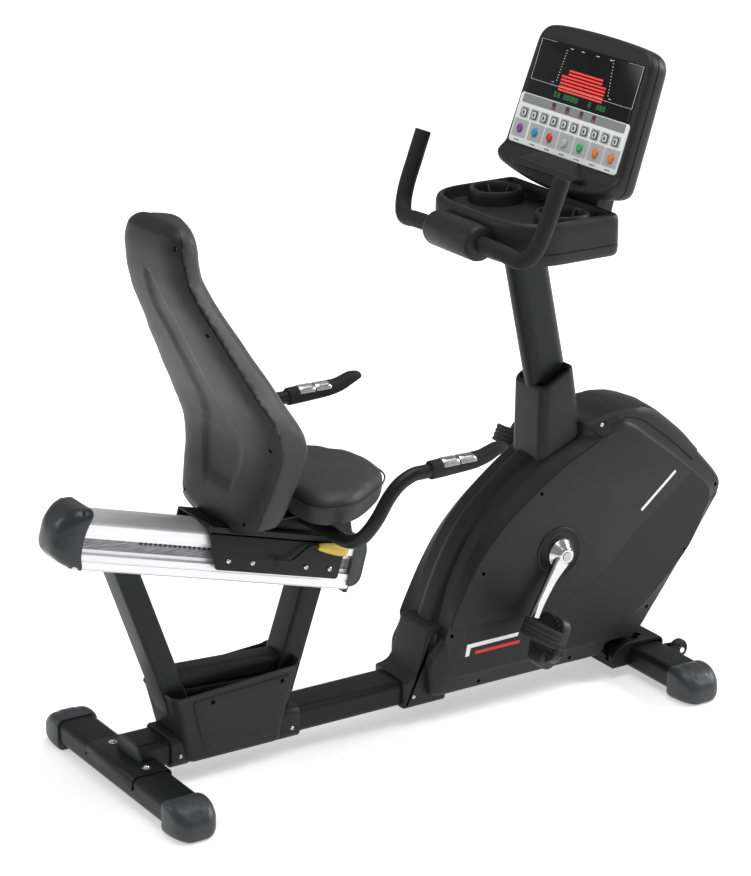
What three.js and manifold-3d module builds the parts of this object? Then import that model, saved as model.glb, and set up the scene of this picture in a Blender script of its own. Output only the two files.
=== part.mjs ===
// Recumbent exercise bike: floor frame, sliding seat on an inclined rail, drive housing and console.
// Millimetres, +Z up, +X from the seat towards the console, +Y to the rider's left.
// Stations along X are counted from the rear stabiliser and the whole bike is centred at the end.
import * as THREE from 'three';
import { mergeVertices } from 'three/addons/utils/BufferGeometryUtils.js';
import Module from 'manifold-3d';

const wasm = await Module();
wasm.setup();

// Driving dimensions
const MID_X = 623.41; // station of the middle of the whole bike
const GAP = 0.4; // clearance between pieces that touch
const FRONT_X = 1213; // front stabiliser
const TUBE_HALF = 220; // stabiliser tube that shows, each side of the middle
const TUBE = { half: 41, low: 13, high: 64 };
const BEAM = { half: 46, low: 43, high: 98, rear: 6, front: 1116 };
const TUBE_WALL = 3; // of every steel tube
const LEG = { half: 35, run: 26.5 };
const RAIL = { x: -100, z: 546, pitch: THREE.MathUtils.degToRad(15.6), start: -26, length: 620, half: 52 };
const SHELL = { half: 88, spine: 52, wall: 5 };
const CRANK = { x: 975, z: 324, length: 166, lean: THREE.MathUtils.degToRad(32.7) };
const FLYWHEEL = { x: 1215, z: 385, radius: 112, pulley: 25 };
const PULLEY_RADIUS = 100;
const PULLEY_Y = 26;
const MAST = { x: 994.5, z: 680, lean: Math.atan(0.21), half: 46, side: 27 };
const FACE = { x: 1060, z: 1246.5, lean: Math.atan2(0.3305, 0.9438) };
const CUP = { x: 945, y: 117, radius: 44 };
const KEY = { pitch: 52.7, up: -79, radius: 9, count: 7 };
const BAR_RADIUS = 14;
const HANDLE_RADIUS = 17;

// Finishes
const finish = (color, roughness, metalness) => () =>
  new THREE.MeshStandardMaterial({ color, roughness, metalness });
const framePaint = finish(0x212223, 0.55, 0.2);
const housingPlastic = finish(0x37383a, 0.6, 0);
const capPlastic = finish(0x4a4d50, 0.45, 0);
const alloy = finish(0xe6e8ea, 0.35, 0.8);
const steel = finish(0x9a9da0, 0.35, 0.9);
const chrome = finish(0xe8eaec, 0.12, 1);
const vinyl = finish(0x3c3d3f, 0.6, 0);
const foam = finish(0x26272a, 0.85, 0);
const rubber = finish(0x1c1d1f, 0.9, 0);
const glossBlack = finish(0x08090b, 0.1, 0);
const keypadWhite = finish(0xeef1f1, 0.5, 0);
const knobYellow = finish(0xd9b84a, 0.4, 0);
const keyColours = [0x8d4f9a, 0x2f9bd0, 0xe02a1c, 0xc9ced2, 0x2fc45a, 0xf28a1c, 0xf28a1c];

const bike = new THREE.Group();
bike.position.x = -MID_X;

function addPiece(name, geometry, material) {
  const mesh = new THREE.Mesh(geometry, material());
  mesh.name = name;
  bike.add(mesh);
  return mesh;
}

// Boolean joins and cuts
function solid(geometry) {
  const bare = geometry.clone();
  for (const name of ['normal', 'uv']) bare.deleteAttribute(name);
  const merged = mergeVertices(bare, 1e-3);
  return new wasm.Manifold(new wasm.Mesh({
    numProp: 3,
    vertProperties: new Float32Array(merged.attributes.position.array),
    triVerts: new Uint32Array(merged.index.array),
  }));
}

function surface(body) {
  const mesh = body.getMesh();
  const geometry = new THREE.BufferGeometry();
  geometry.setAttribute('position', new THREE.BufferAttribute(mesh.vertProperties, 3));
  geometry.setIndex(new THREE.BufferAttribute(mesh.triVerts, 1));
  geometry.computeVertexNormals();
  return geometry;
}

// A closed outline through [a, b] points with every corner rounded
function roundedOutline(points, radius = 0) {
  const shape = new THREE.Shape();
  const count = points.length;
  points.forEach((point, i) => {
    const here = new THREE.Vector2(...point);
    const before = new THREE.Vector2(...points[(i + count - 1) % count]);
    const after = new THREE.Vector2(...points[(i + 1) % count]);
    const r = point[2] ?? radius;
    const inPoint = here.clone().add(before.sub(here).setLength(r));
    const outPoint = here.clone().add(after.sub(here).setLength(r));
    if (i === 0) shape.moveTo(inPoint.x, inPoint.y);
    else shape.lineTo(inPoint.x, inPoint.y);
    if (r > 0) shape.quadraticCurveTo(here.x, here.y, outPoint.x, outPoint.y);
  });
  shape.closePath();
  return shape;
}

function rectangle(a0, b0, a1, b1, radius = 0) {
  return roundedOutline([[a0, b0], [a1, b0], [a1, b1], [a0, b1]], radius);
}

function circle(a, b, radius) {
  const shape = new THREE.Shape();
  shape.absarc(a, b, radius, 0, 2 * Math.PI);
  return shape;
}

// Slab of a shape from low to high along its own third axis, with rounded or bevelled rims
function slab(shape, low, high, bevel = 0, { inset = bevel, segments = 2, curve = 4 } = {}) {
  const geometry = new THREE.ExtrudeGeometry(shape, {
    depth: high - low - 2 * bevel,
    curveSegments: curve,
    bevelEnabled: bevel > 0,
    bevelThickness: bevel,
    bevelSize: inset,
    bevelOffset: -inset,
    bevelSegments: segments,
  });
  return geometry.translate(0, 0, low + bevel);
}

// The same for a side-view outline in X and Z, between two places across the bike
function sideSlab(shape, yLow, yHigh, bevel = 0, options = {}) {
  return slab(shape, -yHigh, -yLow, bevel, options).rotateX(Math.PI / 2);
}

// The same for a section in Y and Z, between two stations along the bike
function longSlab(shape, xLow, xHigh, bevel = 0, options = {}) {
  return slab(shape, xLow, xHigh, bevel, options).rotateX(Math.PI / 2).rotateZ(Math.PI / 2);
}

// A round bar along a curve
function bar(curve, radius, steps, sides = 10) {
  const section = new THREE.Shape();
  for (let i = 0; i < sides; i++) {
    const turn = (2 * Math.PI * i) / sides;
    const at = [radius * Math.cos(turn), radius * Math.sin(turn)];
    if (i === 0) section.moveTo(...at);
    else section.lineTo(...at);
  }
  return new THREE.ExtrudeGeometry(section, { steps, extrudePath: curve, bevelEnabled: false });
}

// A shaft across the bike
function crossShaft(x, z, radius, yLow, yHigh, sides = 20) {
  return new THREE.CylinderGeometry(radius, radius, yHigh - yLow, sides)
    .translate(x, (yLow + yHigh) / 2, z);
}

// A closed skin through rings of equal point count, with flat ends
function loft(rings) {
  const sides = rings[0].length;
  const places = rings.flat();
  const index = [];
  for (let r = 0; r + 1 < rings.length; r++) {
    for (let i = 0; i < sides; i++) {
      const a = r * sides + i;
      const b = r * sides + ((i + 1) % sides);
      index.push(a, b, b + sides, a, b + sides, a + sides);
    }
  }
  const top = (rings.length - 1) * sides;
  for (let i = 1; i + 1 < sides; i++) {
    index.push(0, i + 1, i, top, top + i, top + i + 1);
  }
  const geometry = new THREE.BufferGeometry();
  geometry.setAttribute('position', new THREE.Float32BufferAttribute(places.flat(), 3));
  geometry.setIndex(signedVolume(places, index) < 0 ? index.reverse() : index);
  return geometry;
}

function signedVolume(places, index) {
  let volume = 0;
  for (let i = 0; i < index.length; i += 3) {
    const [a, b, c] = [0, 1, 2].map((k) => new THREE.Vector3(...places[index[i + k]]));
    volume += a.dot(b.cross(c)) / 6;
  }
  return volume;
}

// Points of a rounded rectangle in plan order, as pairs
function ringPoints(a0, b0, a1, b1, radius, corner = 4) {
  const points = [];
  const centres = [[a1 - radius, b1 - radius], [a0 + radius, b1 - radius],
    [a0 + radius, b0 + radius], [a1 - radius, b0 + radius]];
  centres.forEach(([a, b], quarter) => {
    for (let i = 0; i <= corner; i++) {
      const turn = (Math.PI / 2) * (quarter + i / corner);
      points.push([a + radius * Math.cos(turn), b + radius * Math.sin(turn)]);
    }
  });
  return points;
}

const mirrored = (geometry) => {
  const copy = geometry.clone().scale(1, -1, 1);
  copy.setIndex([...copy.index.array].reverse());
  return copy;
};

// Floor frame -------------------------------------------------------------------------------

function tubeSection(grow = 0) {
  return rectangle(-TUBE.half - grow, TUBE.low - grow, TUBE.half + grow, TUBE.high + grow, 14);
}

const tubeEnd = TUBE_HALF + 24; // the tube runs on inside each end cap

function hollowTube() {
  const section = tubeSection();
  section.holes.push(tubeSection(-TUBE_WALL));
  return sideSlab(section, -tubeEnd, tubeEnd);
}

addPiece('rear_stabilizer', hollowTube(), framePaint);

// The front tube carries two pairs of welded ears, each with a pin for a transport wheel
const WHEEL = { x: FRONT_X + 71, y: 108, z: 46, radius: 21, half: 8, pin: 4 };

function wheelFork(side) {
  const ear = roundedOutline([[FRONT_X + 30, 30], [WHEEL.x + 6, 38], [WHEEL.x + 6, 54],
    [FRONT_X + 30, 60]], 4);
  const inner = WHEEL.half + 1;
  const outer = inner + 3;
  let fork = solid(crossShaft(WHEEL.x, WHEEL.z, WHEEL.pin, side * WHEEL.y - outer,
    side * WHEEL.y + outer, 12));
  for (const [low, high] of [[-outer, -inner], [inner, outer]]) {
    fork = fork.add(solid(sideSlab(ear, side * WHEEL.y + low, side * WHEEL.y + high)));
  }
  return fork;
}

const frontTube = hollowTube().translate(FRONT_X, 0, 0);
addPiece('front_stabilizer', surface(solid(frontTube).add(wheelFork(1)).add(wheelFork(-1))),
  framePaint);

for (const [name, side] of [['transport_wheel_left', 1], ['transport_wheel_right', -1]]) {
  const low = side * WHEEL.y - WHEEL.half;
  const tyre = solid(crossShaft(WHEEL.x, WHEEL.z, WHEEL.radius, low, low + 2 * WHEEL.half, 28));
  const bore = solid(crossShaft(WHEEL.x, WHEEL.z, WHEEL.pin + GAP, low - 1,
    low + 2 * WHEEL.half + 1, 12));
  addPiece(name, surface(tyre.subtract(bore)), rubber);
}

// End caps: [distance out, half width, underside, top, corner radius]
const capStations = [[0, 45, 0, 67, 12], [22, 46.5, 0, 70, 14], [48, 45, 0, 65, 20],
  [66, 38, 1, 54, 20], [78, 24, 6, 40, 14]];

function endCap(x) {
  const rings = capStations.map(([out, half, low, high, radius]) =>
    ringPoints(x - half, low, x + half, high, radius, 5)
      .map(([a, b]) => [a, -TUBE_HALF - out, b]));
  const pocket = sideSlab(tubeSection(GAP), -tubeEnd - GAP, -TUBE_HALF + 2).translate(x, 0, 0);
  return surface(solid(loft(rings)).subtract(solid(pocket)));
}

for (const [end, x] of [['rear', 0], ['front', FRONT_X]]) {
  const right = endCap(x);
  addPiece(`${end}_cap_right`, right, capPlastic);
  addPiece(`${end}_cap_left`, mirrored(right), capPlastic);
}

// Saddle brackets wrap the stabilisers where the beam is bolted down
function saddle(outline, half, x) {
  const block = solid(sideSlab(outline, -half, half));
  return block.subtract(solid(sideSlab(tubeSection(GAP), -300, 300).translate(x, 0, 0)));
}

function beamSection(grow = 0) {
  return rectangle(-BEAM.half - grow, BEAM.low - grow, BEAM.half + grow, BEAM.high + grow, 14);
}

const rearSaddle = saddle(roundedOutline([[-41, 52], [-41, 68, 14], [46, 68, 10], [46, 16],
  [20, 16], [20, 52]], 1), 98, 0);
const frontSaddle = saddle(roundedOutline([[FRONT_X - 90, 24], [FRONT_X - 90, 60, 20],
  [FRONT_X - 50, 77, 20], [FRONT_X + 46, 77, 12], [FRONT_X + 46, 24], [FRONT_X, 24]], 1),
  86, FRONT_X);
addPiece('rear_saddle', surface(rearSaddle), framePaint);
addPiece('front_saddle', surface(frontSaddle), framePaint);

const notch = new THREE.BoxGeometry(120, 200, 60)
  .translate(46 + GAP - 60, 0, 68 + GAP - 30);
const hollowBeam = beamSection();
hollowBeam.holes.push(beamSection(-TUBE_WALL));
const beam = solid(longSlab(hollowBeam, BEAM.rear, BEAM.front)).subtract(solid(notch));
addPiece('main_beam', surface(beam), framePaint);

// The rail's own frame: s runs forward along it, h stands square to it
const railPlace = new THREE.Matrix4().makeRotationY(RAIL.pitch).setPosition(RAIL.x, 0, RAIL.z);
const onRail = (geometry) => geometry.applyMatrix4(railPlace);
const undersideHeight = (x) => {
  const s = (x - RAIL.x + 50 * Math.sin(RAIL.pitch)) / Math.cos(RAIL.pitch);
  return RAIL.z - s * Math.sin(RAIL.pitch) - 50 * Math.cos(RAIL.pitch) - GAP;
};

// A leg stands on the beam and leans to meet the underside of the rail
function leg({ foot: footX, slope }, grow = 0) {
  const foot = BEAM.high + GAP - grow;
  const run = LEG.run + 1.2 * grow;
  const edge = (offset) => {
    let x = footX + offset;
    for (let i = 0; i < 20; i++) x = footX + offset + slope * (undersideHeight(x) - foot);
    return [x, undersideHeight(x)];
  };
  const outline = roundedOutline([[footX - run, foot], [footX + run, foot],
    edge(run), edge(-run)]);
  return sideSlab(outline, -LEG.half - grow, LEG.half + grow, 7, { segments: 2 });
}

const REAR_LEG = { foot: 122, slope: -0.348 };
const FRONT_LEG = { foot: 322.8, slope: 0.34 };

function hollowLeg({ foot, slope }) {
  const inside = LEG.run - 1.2 * TUBE_WALL;
  const at = (offset, z) => [foot + offset + slope * (z - BEAM.high), z];
  const bore = roundedOutline([at(-inside, 50), at(inside, 50), at(inside, 560),
    at(-inside, 560)]);
  const side = LEG.half - TUBE_WALL;
  return surface(solid(leg({ foot, slope })).subtract(solid(sideSlab(bore, -side, side))));
}

addPiece('rear_leg', hollowLeg(REAR_LEG), framePaint);
addPiece('front_leg', hollowLeg(FRONT_LEG), framePaint);

const BRACE = { low: 176, high: 232, drop: 13, half: 27 };
const legEdge = ({ foot, slope }, offset, z) =>
  [foot + offset + slope * (z - BEAM.high - GAP), z];
const braceOutline = roundedOutline([
  legEdge(REAR_LEG, LEG.run + GAP, BRACE.low),
  legEdge(FRONT_LEG, -LEG.run - GAP, BRACE.low - BRACE.drop),
  legEdge(FRONT_LEG, -LEG.run - GAP, BRACE.high - BRACE.drop),
  legEdge(REAR_LEG, LEG.run + GAP, BRACE.high)]);
addPiece('leg_brace', sideSlab(braceOutline, -BRACE.half, BRACE.half, 6, { segments: 1 }),
  framePaint);

// Plastic bucket around the feet of the legs, with a collar where the beam passes each end
function bucket(shrink, lift) {
  const stations = [[45 + lift, 104, 316, 58], [110, 88, 334, 61], [198, 66, 366, 66]];
  const rings = stations.map(([z, x0, x1, half]) =>
    ringPoints(x0 + shrink, -half + shrink, x1 - shrink, half - shrink, 16 - shrink)
      .map(([a, b]) => [a, b, z + (z > 190 ? (a - 62) * 0.05 - 8 + shrink : 0)]));
  return solid(loft(rings));
}

const collarTube = solid(longSlab(beamSection(6), 66, 368, 3, { segments: 1 }));
const beamRoom = solid(longSlab(beamSection(GAP), -10, 1300));
addPiece('base_cover', surface(bucket(0, 0).add(collarTube).subtract(bucket(3, 4))
  .subtract(beamRoom).subtract(solid(leg(REAR_LEG, 1))).subtract(solid(leg(FRONT_LEG, 1)))),
housingPlastic);

// Seat rail: a hollow alloy extrusion with a track down each side
const railSection = roundedOutline([[-52, -50, 4], [52, -50, 4], [52, -16, 1], [42, -16, 1],
  [42, 20, 1], [52, 20, 1], [52, 47, 10], [0, 66, 40], [-52, 47, 10], [-52, 20, 1],
  [-42, 20, 1], [-42, -16, 1], [-52, -16, 1]]);
const railEnvelope = roundedOutline([[-52 - GAP, -50 - GAP, 3], [52 + GAP, -50 - GAP, 3],
  [52 + GAP, 47 + GAP, 10], [0, 66 + GAP, 40], [-52 - GAP, 47 + GAP, 10]]);
const railHollow = [rectangle(-38, -46, 38, -20, 3), rectangle(-38, -16, 38, 42, 8)];
railSection.holes.push(...railHollow);
addPiece('seat_rail', onRail(longSlab(railSection, RAIL.start, RAIL.length)), alloy);

// Rail caps: [s, half width, underside, top, corner radius]
function railCap(stations, pocketLow, pocketHigh) {
  const rings = stations.map(([s, half, low, high, radius]) =>
    ringPoints(-half, low, half, high, radius, 5).map(([a, b]) => [s, a, b]));
  const pocket = longSlab(railEnvelope, pocketLow, pocketHigh);
  return onRail(surface(solid(loft(rings)).subtract(solid(pocket))));
}

addPiece('rail_cap_rear', railCap([[-62, 24, -20, 24, 12], [-57, 36, -32, 38, 20],
  [-44, 47, -44, 58, 24], [-34, 54, -52, 68, 20], [-26, 56, -54, 70, 15], [-8, 57, -54, 70, 12]],
  RAIL.start - GAP, 60), capPlastic);
addPiece('rail_cap_front', railCap([[608, 55, -53, 60, 16], [632, 55, -52, 58, 20],
  [644, 46, -46, 44, 20], [652, 34, -30, 26, 16]], 560, RAIL.length + GAP), capPlastic);

// Drive housing ----------------------------------------------------------------------------

// Curved rear edge of the housing, from the beam up to the mast
const archPoints = [[694, 186], [740, 299], [791, 386], [858, 453], [952, 521], [1040, 560]]
  .map(([x, z]) => new THREE.Vector2(x, z));
const arch = new THREE.SplineCurve(archPoints);

function housingOutline() {
  const shape = new THREE.Shape();
  shape.moveTo(664, 58);
  shape.lineTo(1098, 58);
  shape.lineTo(1122, 84);
  shape.lineTo(1192, 84);
  shape.lineTo(1213, 105);
  shape.lineTo(1378, 338);
  shape.quadraticCurveTo(1424, 384, 1408, 410);
  shape.lineTo(1364, 460);
  shape.quadraticCurveTo(1300, 530, 1240, 580);
  shape.quadraticCurveTo(1206, 604, 1160, 605);
  shape.lineTo(1130, 603);
  shape.quadraticCurveTo(1085, 592, 1044, 590);
  shape.lineTo(1040, 560);
  for (const point of arch.getPoints(16).reverse().slice(1)) shape.lineTo(point.x, point.y);
  shape.lineTo(664, 186);
  shape.closePath();
  return shape;
}

const rim = SHELL.half - SHELL.spine;
const outerHousing = solid(sideSlab(housingOutline(), -SHELL.half, SHELL.half, rim,
  { inset: 16, segments: 2, curve: 5 }));
const wallIn = SHELL.wall;
const innerHousing = solid(sideSlab(housingOutline(), -SHELL.half + wallIn,
  SHELL.half - wallIn, rim, { inset: 18, segments: 1, curve: 5 }))
  .intersect(solid(sideSlab(insetOutline(), -SHELL.half, SHELL.half)));

// Inside face of the housing wall, kept a wall's thickness from the outline
function insetOutline() {
  const centre = new THREE.Vector2(1010, 330);
  const outline = housingOutline().getPoints(6);
  return new THREE.Shape(outline.map((point) => {
    const inward = centre.clone().sub(point);
    return point.clone().add(inward.setLength(SHELL.wall * 1.6));
  }));
}

// Curved frame tube between the shells: it joins the beam to the mast
const ARC_DEPTH = 34;
const BAND_LIFT = 30;

function archBand(grow) {
  const points = arch.getPoints(16);
  points[0].addScaledVector(arch.getTangent(0.001), -3 * grow);
  points[16].addScaledVector(arch.getTangent(0.999), 3 * grow);
  const inner = points.map((point, i) => {
    const t = i / 16;
    const tangent = arch.getTangent(Math.min(Math.max(t, 0.001), 0.999));
    return new THREE.Vector2(point.x + tangent.y * (ARC_DEPTH + grow),
      point.y - tangent.x * (ARC_DEPTH + grow));
  });
  const lift = BAND_LIFT * grow; // a room for the tube is left open above it
  const outer = points.map((point, i) => {
    const tangent = arch.getTangent(Math.min(Math.max(i / 16, 0.001), 0.999));
    return new THREE.Vector2(point.x - tangent.y * lift, point.y + tangent.x * lift);
  });
  return new THREE.Shape([...outer, ...inner.reverse()]);
}

const half = SHELL.spine;
const arcTube = solid(sideSlab(archBand(0), -half, half));
const arcRoom = solid(sideSlab(archBand(GAP), -half - GAP, half + GAP));

// Collar: plastic boot where the arch meets the beam
const collarOutline = (grow) => roundedOutline([[612 - grow, 38 - grow],
  [612 - grow, 103 + grow], [652, 105 + grow, 14], [674 - grow, 130, 16],
  [684 - grow, 190 + grow], [712 + grow, 204 + grow], [712 + grow, 38 - grow]]);
const collarHalf = 57;
const collarBlock = solid(sideSlab(collarOutline(0), -collarHalf, collarHalf, 4,
  { segments: 1 }));
const collarRoom = solid(sideSlab(collarOutline(GAP), -collarHalf - GAP, collarHalf + GAP));
const clearOfBeam = (body) => body.subtract(beamRoom);
addPiece('beam_collar', surface(clearOfBeam(collarBlock).subtract(arcRoom)), housingPlastic);

// Mast sleeve: tapered moulding that stands on the arch and carries the foot of the mast
const sleeveOutline = (grow) => roundedOutline([[948 - grow, 470 - grow],
  [946 - grow, 674 + grow], [1030 + grow, 716 + grow], [1056 + grow, 560], [1062 + grow, 500]]);
const sleeveHalf = 57;
const sleeveBlock = solid(sideSlab(sleeveOutline(0), -sleeveHalf, sleeveHalf, 20,
  { segments: 3 }));
const sleeveRoom = solid(sideSlab(sleeveOutline(GAP), -sleeveHalf - GAP, sleeveHalf + GAP));

function mastBody(grow) {
  const section = rectangle(-MAST.half - grow, -MAST.side - grow, MAST.half + grow,
    MAST.side + grow, MAST.side + grow - 1);
  const post = slab(section, -160, 330, 0, { curve: 8 }).rotateY(-MAST.lean)
    .translate(MAST.x, 0, MAST.z);
  return solid(post);
}

const mastRange = new THREE.BoxGeometry(400, 200, 978 - GAP - 600).translate(1000, 0,
  (978 - GAP + 600) / 2);
addPiece('mast', surface(mastBody(0).subtract(mastBody(-TUBE_WALL))
  .intersect(solid(mastRange))), framePaint);
const belowArch = solid(sideSlab(new THREE.Shape([[600, 0], [1400, 0], [1400, 540],
  ...arch.getPoints(16).reverse().map((point) => [point.x, point.y + GAP]), [600, 186]]
  .map(([x, z]) => new THREE.Vector2(x, z))), -200, 200));
const sleeveShape = sleeveBlock.subtract(belowArch);
addPiece('mast_sleeve', surface(sleeveShape.subtract(mastBody(GAP))
  .subtract(solid(new THREE.BoxGeometry(70, 40, 60).translate(1008, 0, 570)))), housingPlastic);
addPiece('frame_arc', surface(arcTube.subtract(beamRoom)), framePaint);

// Long cover over the crest of the two shells
const crestOutline = roundedOutline([[1030, 567], [1085, 567], [1150, 574, 20],
  [1215, 540, 30], [1340, 440, 4], [1366, 464, 2], [1290, 640, 2], [1030, 680]], 1);
const crestZone = solid(sideSlab(crestOutline, -120, 120));
const crestRoom = solid(sideSlab(roundedOutline([[1029.6, 566.6], [1085, 566.6], [1150, 573.6, 20],
  [1214.6, 539.6, 30], [1340, 439.4, 4], [1367, 464, 2], [1291, 642, 2], [1029.6, 682]], 1),
  -120, 120));
const wall = outerHousing.subtract(innerHousing);
addPiece('top_cover', surface(wall.intersect(crestZone).subtract(sleeveRoom)
  .subtract(mastBody(GAP))), housingPlastic);

// Each shell keeps clear of the pieces between the two and of the crank spindle
const spindleRoom = solid(crossShaft(CRANK.x, CRANK.z, 16, -200, 200, 24));
const frontSaddleRoom = solid(new THREE.BoxGeometry(200, 2 * 90, 120)
  .translate(FRONT_X - 6, 0, 77.5 + GAP - 60));
const shells = wall.subtract(crestRoom).subtract(sleeveRoom).subtract(arcRoom)
  .subtract(collarRoom).subtract(beamRoom).subtract(spindleRoom).subtract(frontSaddleRoom);
const rightHalf = solid(new THREE.BoxGeometry(2000, 200, 1000).translate(1000, -100 - GAP / 2, 400));
const rightShell = surface(shells.intersect(rightHalf));
addPiece('housing_right', rightShell, housingPlastic);
addPiece('housing_left', mirrored(rightShell), housingPlastic);

// Drive -----------------------------------------------------------------------------------

addPiece('crank_spindle', crossShaft(CRANK.x, CRANK.z, 10, -120, 120), steel);

function wheelDisc(x, z, radius, hub, bore, yMid, thickness, hubHalf) {
  let disc = solid(crossShaft(x, z, radius, yMid - thickness / 2, yMid + thickness / 2, 40));
  disc = disc.add(solid(crossShaft(x, z, hub, yMid - hubHalf, yMid + hubHalf, 24)));
  return disc.subtract(solid(crossShaft(x, z, bore, yMid - 90, yMid + 90, 20)));
}

addPiece('drive_pulley', surface(wheelDisc(CRANK.x, CRANK.z, PULLEY_RADIUS, 26, 10 + GAP,
  PULLEY_Y, 14, 16)), steel);
addPiece('flywheel_axle', crossShaft(FLYWHEEL.x, FLYWHEEL.z, 8, -60, 60), steel);
const flywheelDisc = wheelDisc(FLYWHEEL.x, FLYWHEEL.z, FLYWHEEL.radius, 22, 8 + GAP, -22, 24, 26);
const smallPulley = solid(crossShaft(FLYWHEEL.x, FLYWHEEL.z, FLYWHEEL.pulley, 2,
  PULLEY_Y + 8, 28)).subtract(solid(crossShaft(FLYWHEEL.x, FLYWHEEL.z, 8 + GAP, -60, 60, 20)));
addPiece('flywheel', surface(flywheelDisc.add(smallPulley)), steel);

// The belt is an open-sided band with straight runs between the two pulleys
function beltOutline(grow) {
  const dx = FLYWHEEL.x - CRANK.x;
  const dz = FLYWHEEL.z - CRANK.z;
  const heading = Math.atan2(dz, dx);
  const spread = Math.acos((PULLEY_RADIUS - FLYWHEEL.pulley) / Math.hypot(dx, dz));
  const points = [];
  const sweep = (x, z, radius, from, to, count) => {
    for (let i = 0; i <= count; i++) {
      const turn = from + ((to - from) * i) / count;
      points.push(new THREE.Vector2(x + radius * Math.cos(turn), z + radius * Math.sin(turn)));
    }
  };
  sweep(FLYWHEEL.x, FLYWHEEL.z, FLYWHEEL.pulley + grow, heading - spread, heading + spread, 12);
  sweep(CRANK.x, CRANK.z, PULLEY_RADIUS + grow, heading + spread,
    heading + 2 * Math.PI - spread, 28);
  return points;
}

const beltShape = new THREE.Shape(beltOutline(3.5));
beltShape.holes.push(new THREE.Path(beltOutline(0.8)));
addPiece('drive_belt', sideSlab(beltShape, PULLEY_Y - 6, PULLEY_Y + 6), rubber);

// Crank arms point opposite ways; each pedal turns on its own spindle at the end
const ARM = { inner: 99, outer: 117, boss: 23, eye: 14 };

function crankArm(side) {
  const sign = side === 'right' ? -1 : 1;
  const endX = CRANK.x + sign * CRANK.length * Math.sin(CRANK.lean);
  const endZ = CRANK.z + sign * CRANK.length * Math.cos(CRANK.lean);
  const yLow = sign < 0 ? -ARM.outer : ARM.inner;
  const yHigh = yLow + ARM.outer - ARM.inner;
  const across = new THREE.Vector2(endZ - CRANK.z, CRANK.x - endX).normalize();
  const corner = (x, z, reach) => [x + across.x * reach, z + across.y * reach];
  const web = roundedOutline([corner(CRANK.x, CRANK.z, 17), corner(endX, endZ, 12),
    corner(endX, endZ, -12), corner(CRANK.x, CRANK.z, -17)].reverse());
  let arm = solid(crossShaft(CRANK.x, CRANK.z, ARM.boss, yLow, yHigh, 28));
  arm = arm.add(solid(crossShaft(endX, endZ, ARM.eye, yLow, yHigh, 20)));
  arm = arm.add(solid(sideSlab(web, yLow + 1, yHigh - 1)));
  arm = arm.subtract(solid(crossShaft(CRANK.x, CRANK.z, 10 + GAP, -200, 200, 20)));
  const pinLow = sign < 0 ? -224 : ARM.outer - 4;
  const pinHigh = sign < 0 ? -ARM.outer + 4 : 224;
  arm = arm.add(solid(crossShaft(endX, endZ, 6, pinLow, pinHigh, 12)));
  addPiece(`crank_arm_${side}`, surface(arm), chrome);
  return [endX, endZ, sign];
}

// Pedals: a ribbed block with a counterweight below, tilted to face the rider
const PEDAL = { y: 185, half: 46, tilt: THREE.MathUtils.degToRad(24) };

function pedalAndStrap(side, [x, z, sign]) {
  const yMid = sign * PEDAL.y;
  const place = (geometry) => geometry.rotateY(PEDAL.tilt).translate(x, 0, z);
  const plate = roundedOutline([[-14, -62], [10, -62], [12, 54], [-14, 54]]);
  let block = solid(place(sideSlab(plate, yMid - PEDAL.half, yMid + PEDAL.half, 3,
    { segments: 1 })));
  block = block.subtract(solid(crossShaft(x, z, 6 + GAP, -300, 300, 16)));
  addPiece(`pedal_${side}`, surface(block), rubber);
  const arcShape = new THREE.Shape();
  const reach = 52;
  arcShape.absarc(0, 0, reach, -Math.PI / 2, Math.PI / 2);
  arcShape.absarc(0, 0, reach - 4, Math.PI / 2, -Math.PI / 2, true);
  arcShape.closePath();
  const band = slab(arcShape, -19, 19, 0, { curve: 14 }).rotateZ(Math.PI)
    .translate(-14 - GAP, yMid, -2);
  addPiece(`pedal_strap_${side}`, place(band), rubber);
}

pedalAndStrap('right', crankArm('right'));
pedalAndStrap('left', crankArm('left'));

// Console end -----------------------------------------------------------------------------

// Tray: a dished moulding with two cup holders and a roll that clamps the handlebar
const ROLL = { x: 775, z: 1016, radius: 37, half: 84 };
const trayPlan = (grow) => {
  const shape = new THREE.Shape();
  const edge = 190 - grow;
  shape.moveTo(1041 - grow, -edge + 16);
  shape.lineTo(1041 - grow, edge - 16);
  shape.quadraticCurveTo(1041 - grow, edge, 1025 - grow, edge);
  shape.lineTo(900, edge);
  shape.bezierCurveTo(830, edge, 802, 140 - grow, ROLL.x + 21, ROLL.half - grow);
  shape.lineTo(ROLL.x + 21, -ROLL.half + grow);
  shape.bezierCurveTo(802, -140 + grow, 830, -edge, 900, -edge);
  shape.lineTo(1025 - grow, -edge);
  shape.quadraticCurveTo(1041 - grow, -edge, 1041 - grow, -edge + 16);
  return shape;
};
const TRAY = { low: 978, high: 1064, floor: 1036 };
const cupPost = (radius, low, high) => (side) => solid(new THREE.CylinderGeometry(radius, radius,
  high - low, 24).rotateX(Math.PI / 2).translate(CUP.x, side * CUP.y, (low + high) / 2));
const cupBoss = cupPost(57, TRAY.low + 8, 1071);
const cupHole = cupPost(CUP.radius, 1000, 1100);
const basin = solid(slab(rectangle(800, -150, 1018, 150, 30), TRAY.floor, 1100));
const handleRoom = solid(crossShaft(ROLL.x, ROLL.z, HANDLE_RADIUS + 1, -100, 100, 16));
let tray = solid(slab(trayPlan(0), TRAY.low, TRAY.high, 9, { segments: 2 })).subtract(basin);
tray = tray.add(solid(crossShaft(ROLL.x, ROLL.z, ROLL.radius, -ROLL.half, ROLL.half, 28)));
for (const side of [1, -1]) tray = tray.add(cupBoss(side));
for (const side of [1, -1]) tray = tray.subtract(cupHole(side));
addPiece('console_tray', surface(tray.subtract(handleRoom)), housingPlastic);

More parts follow.
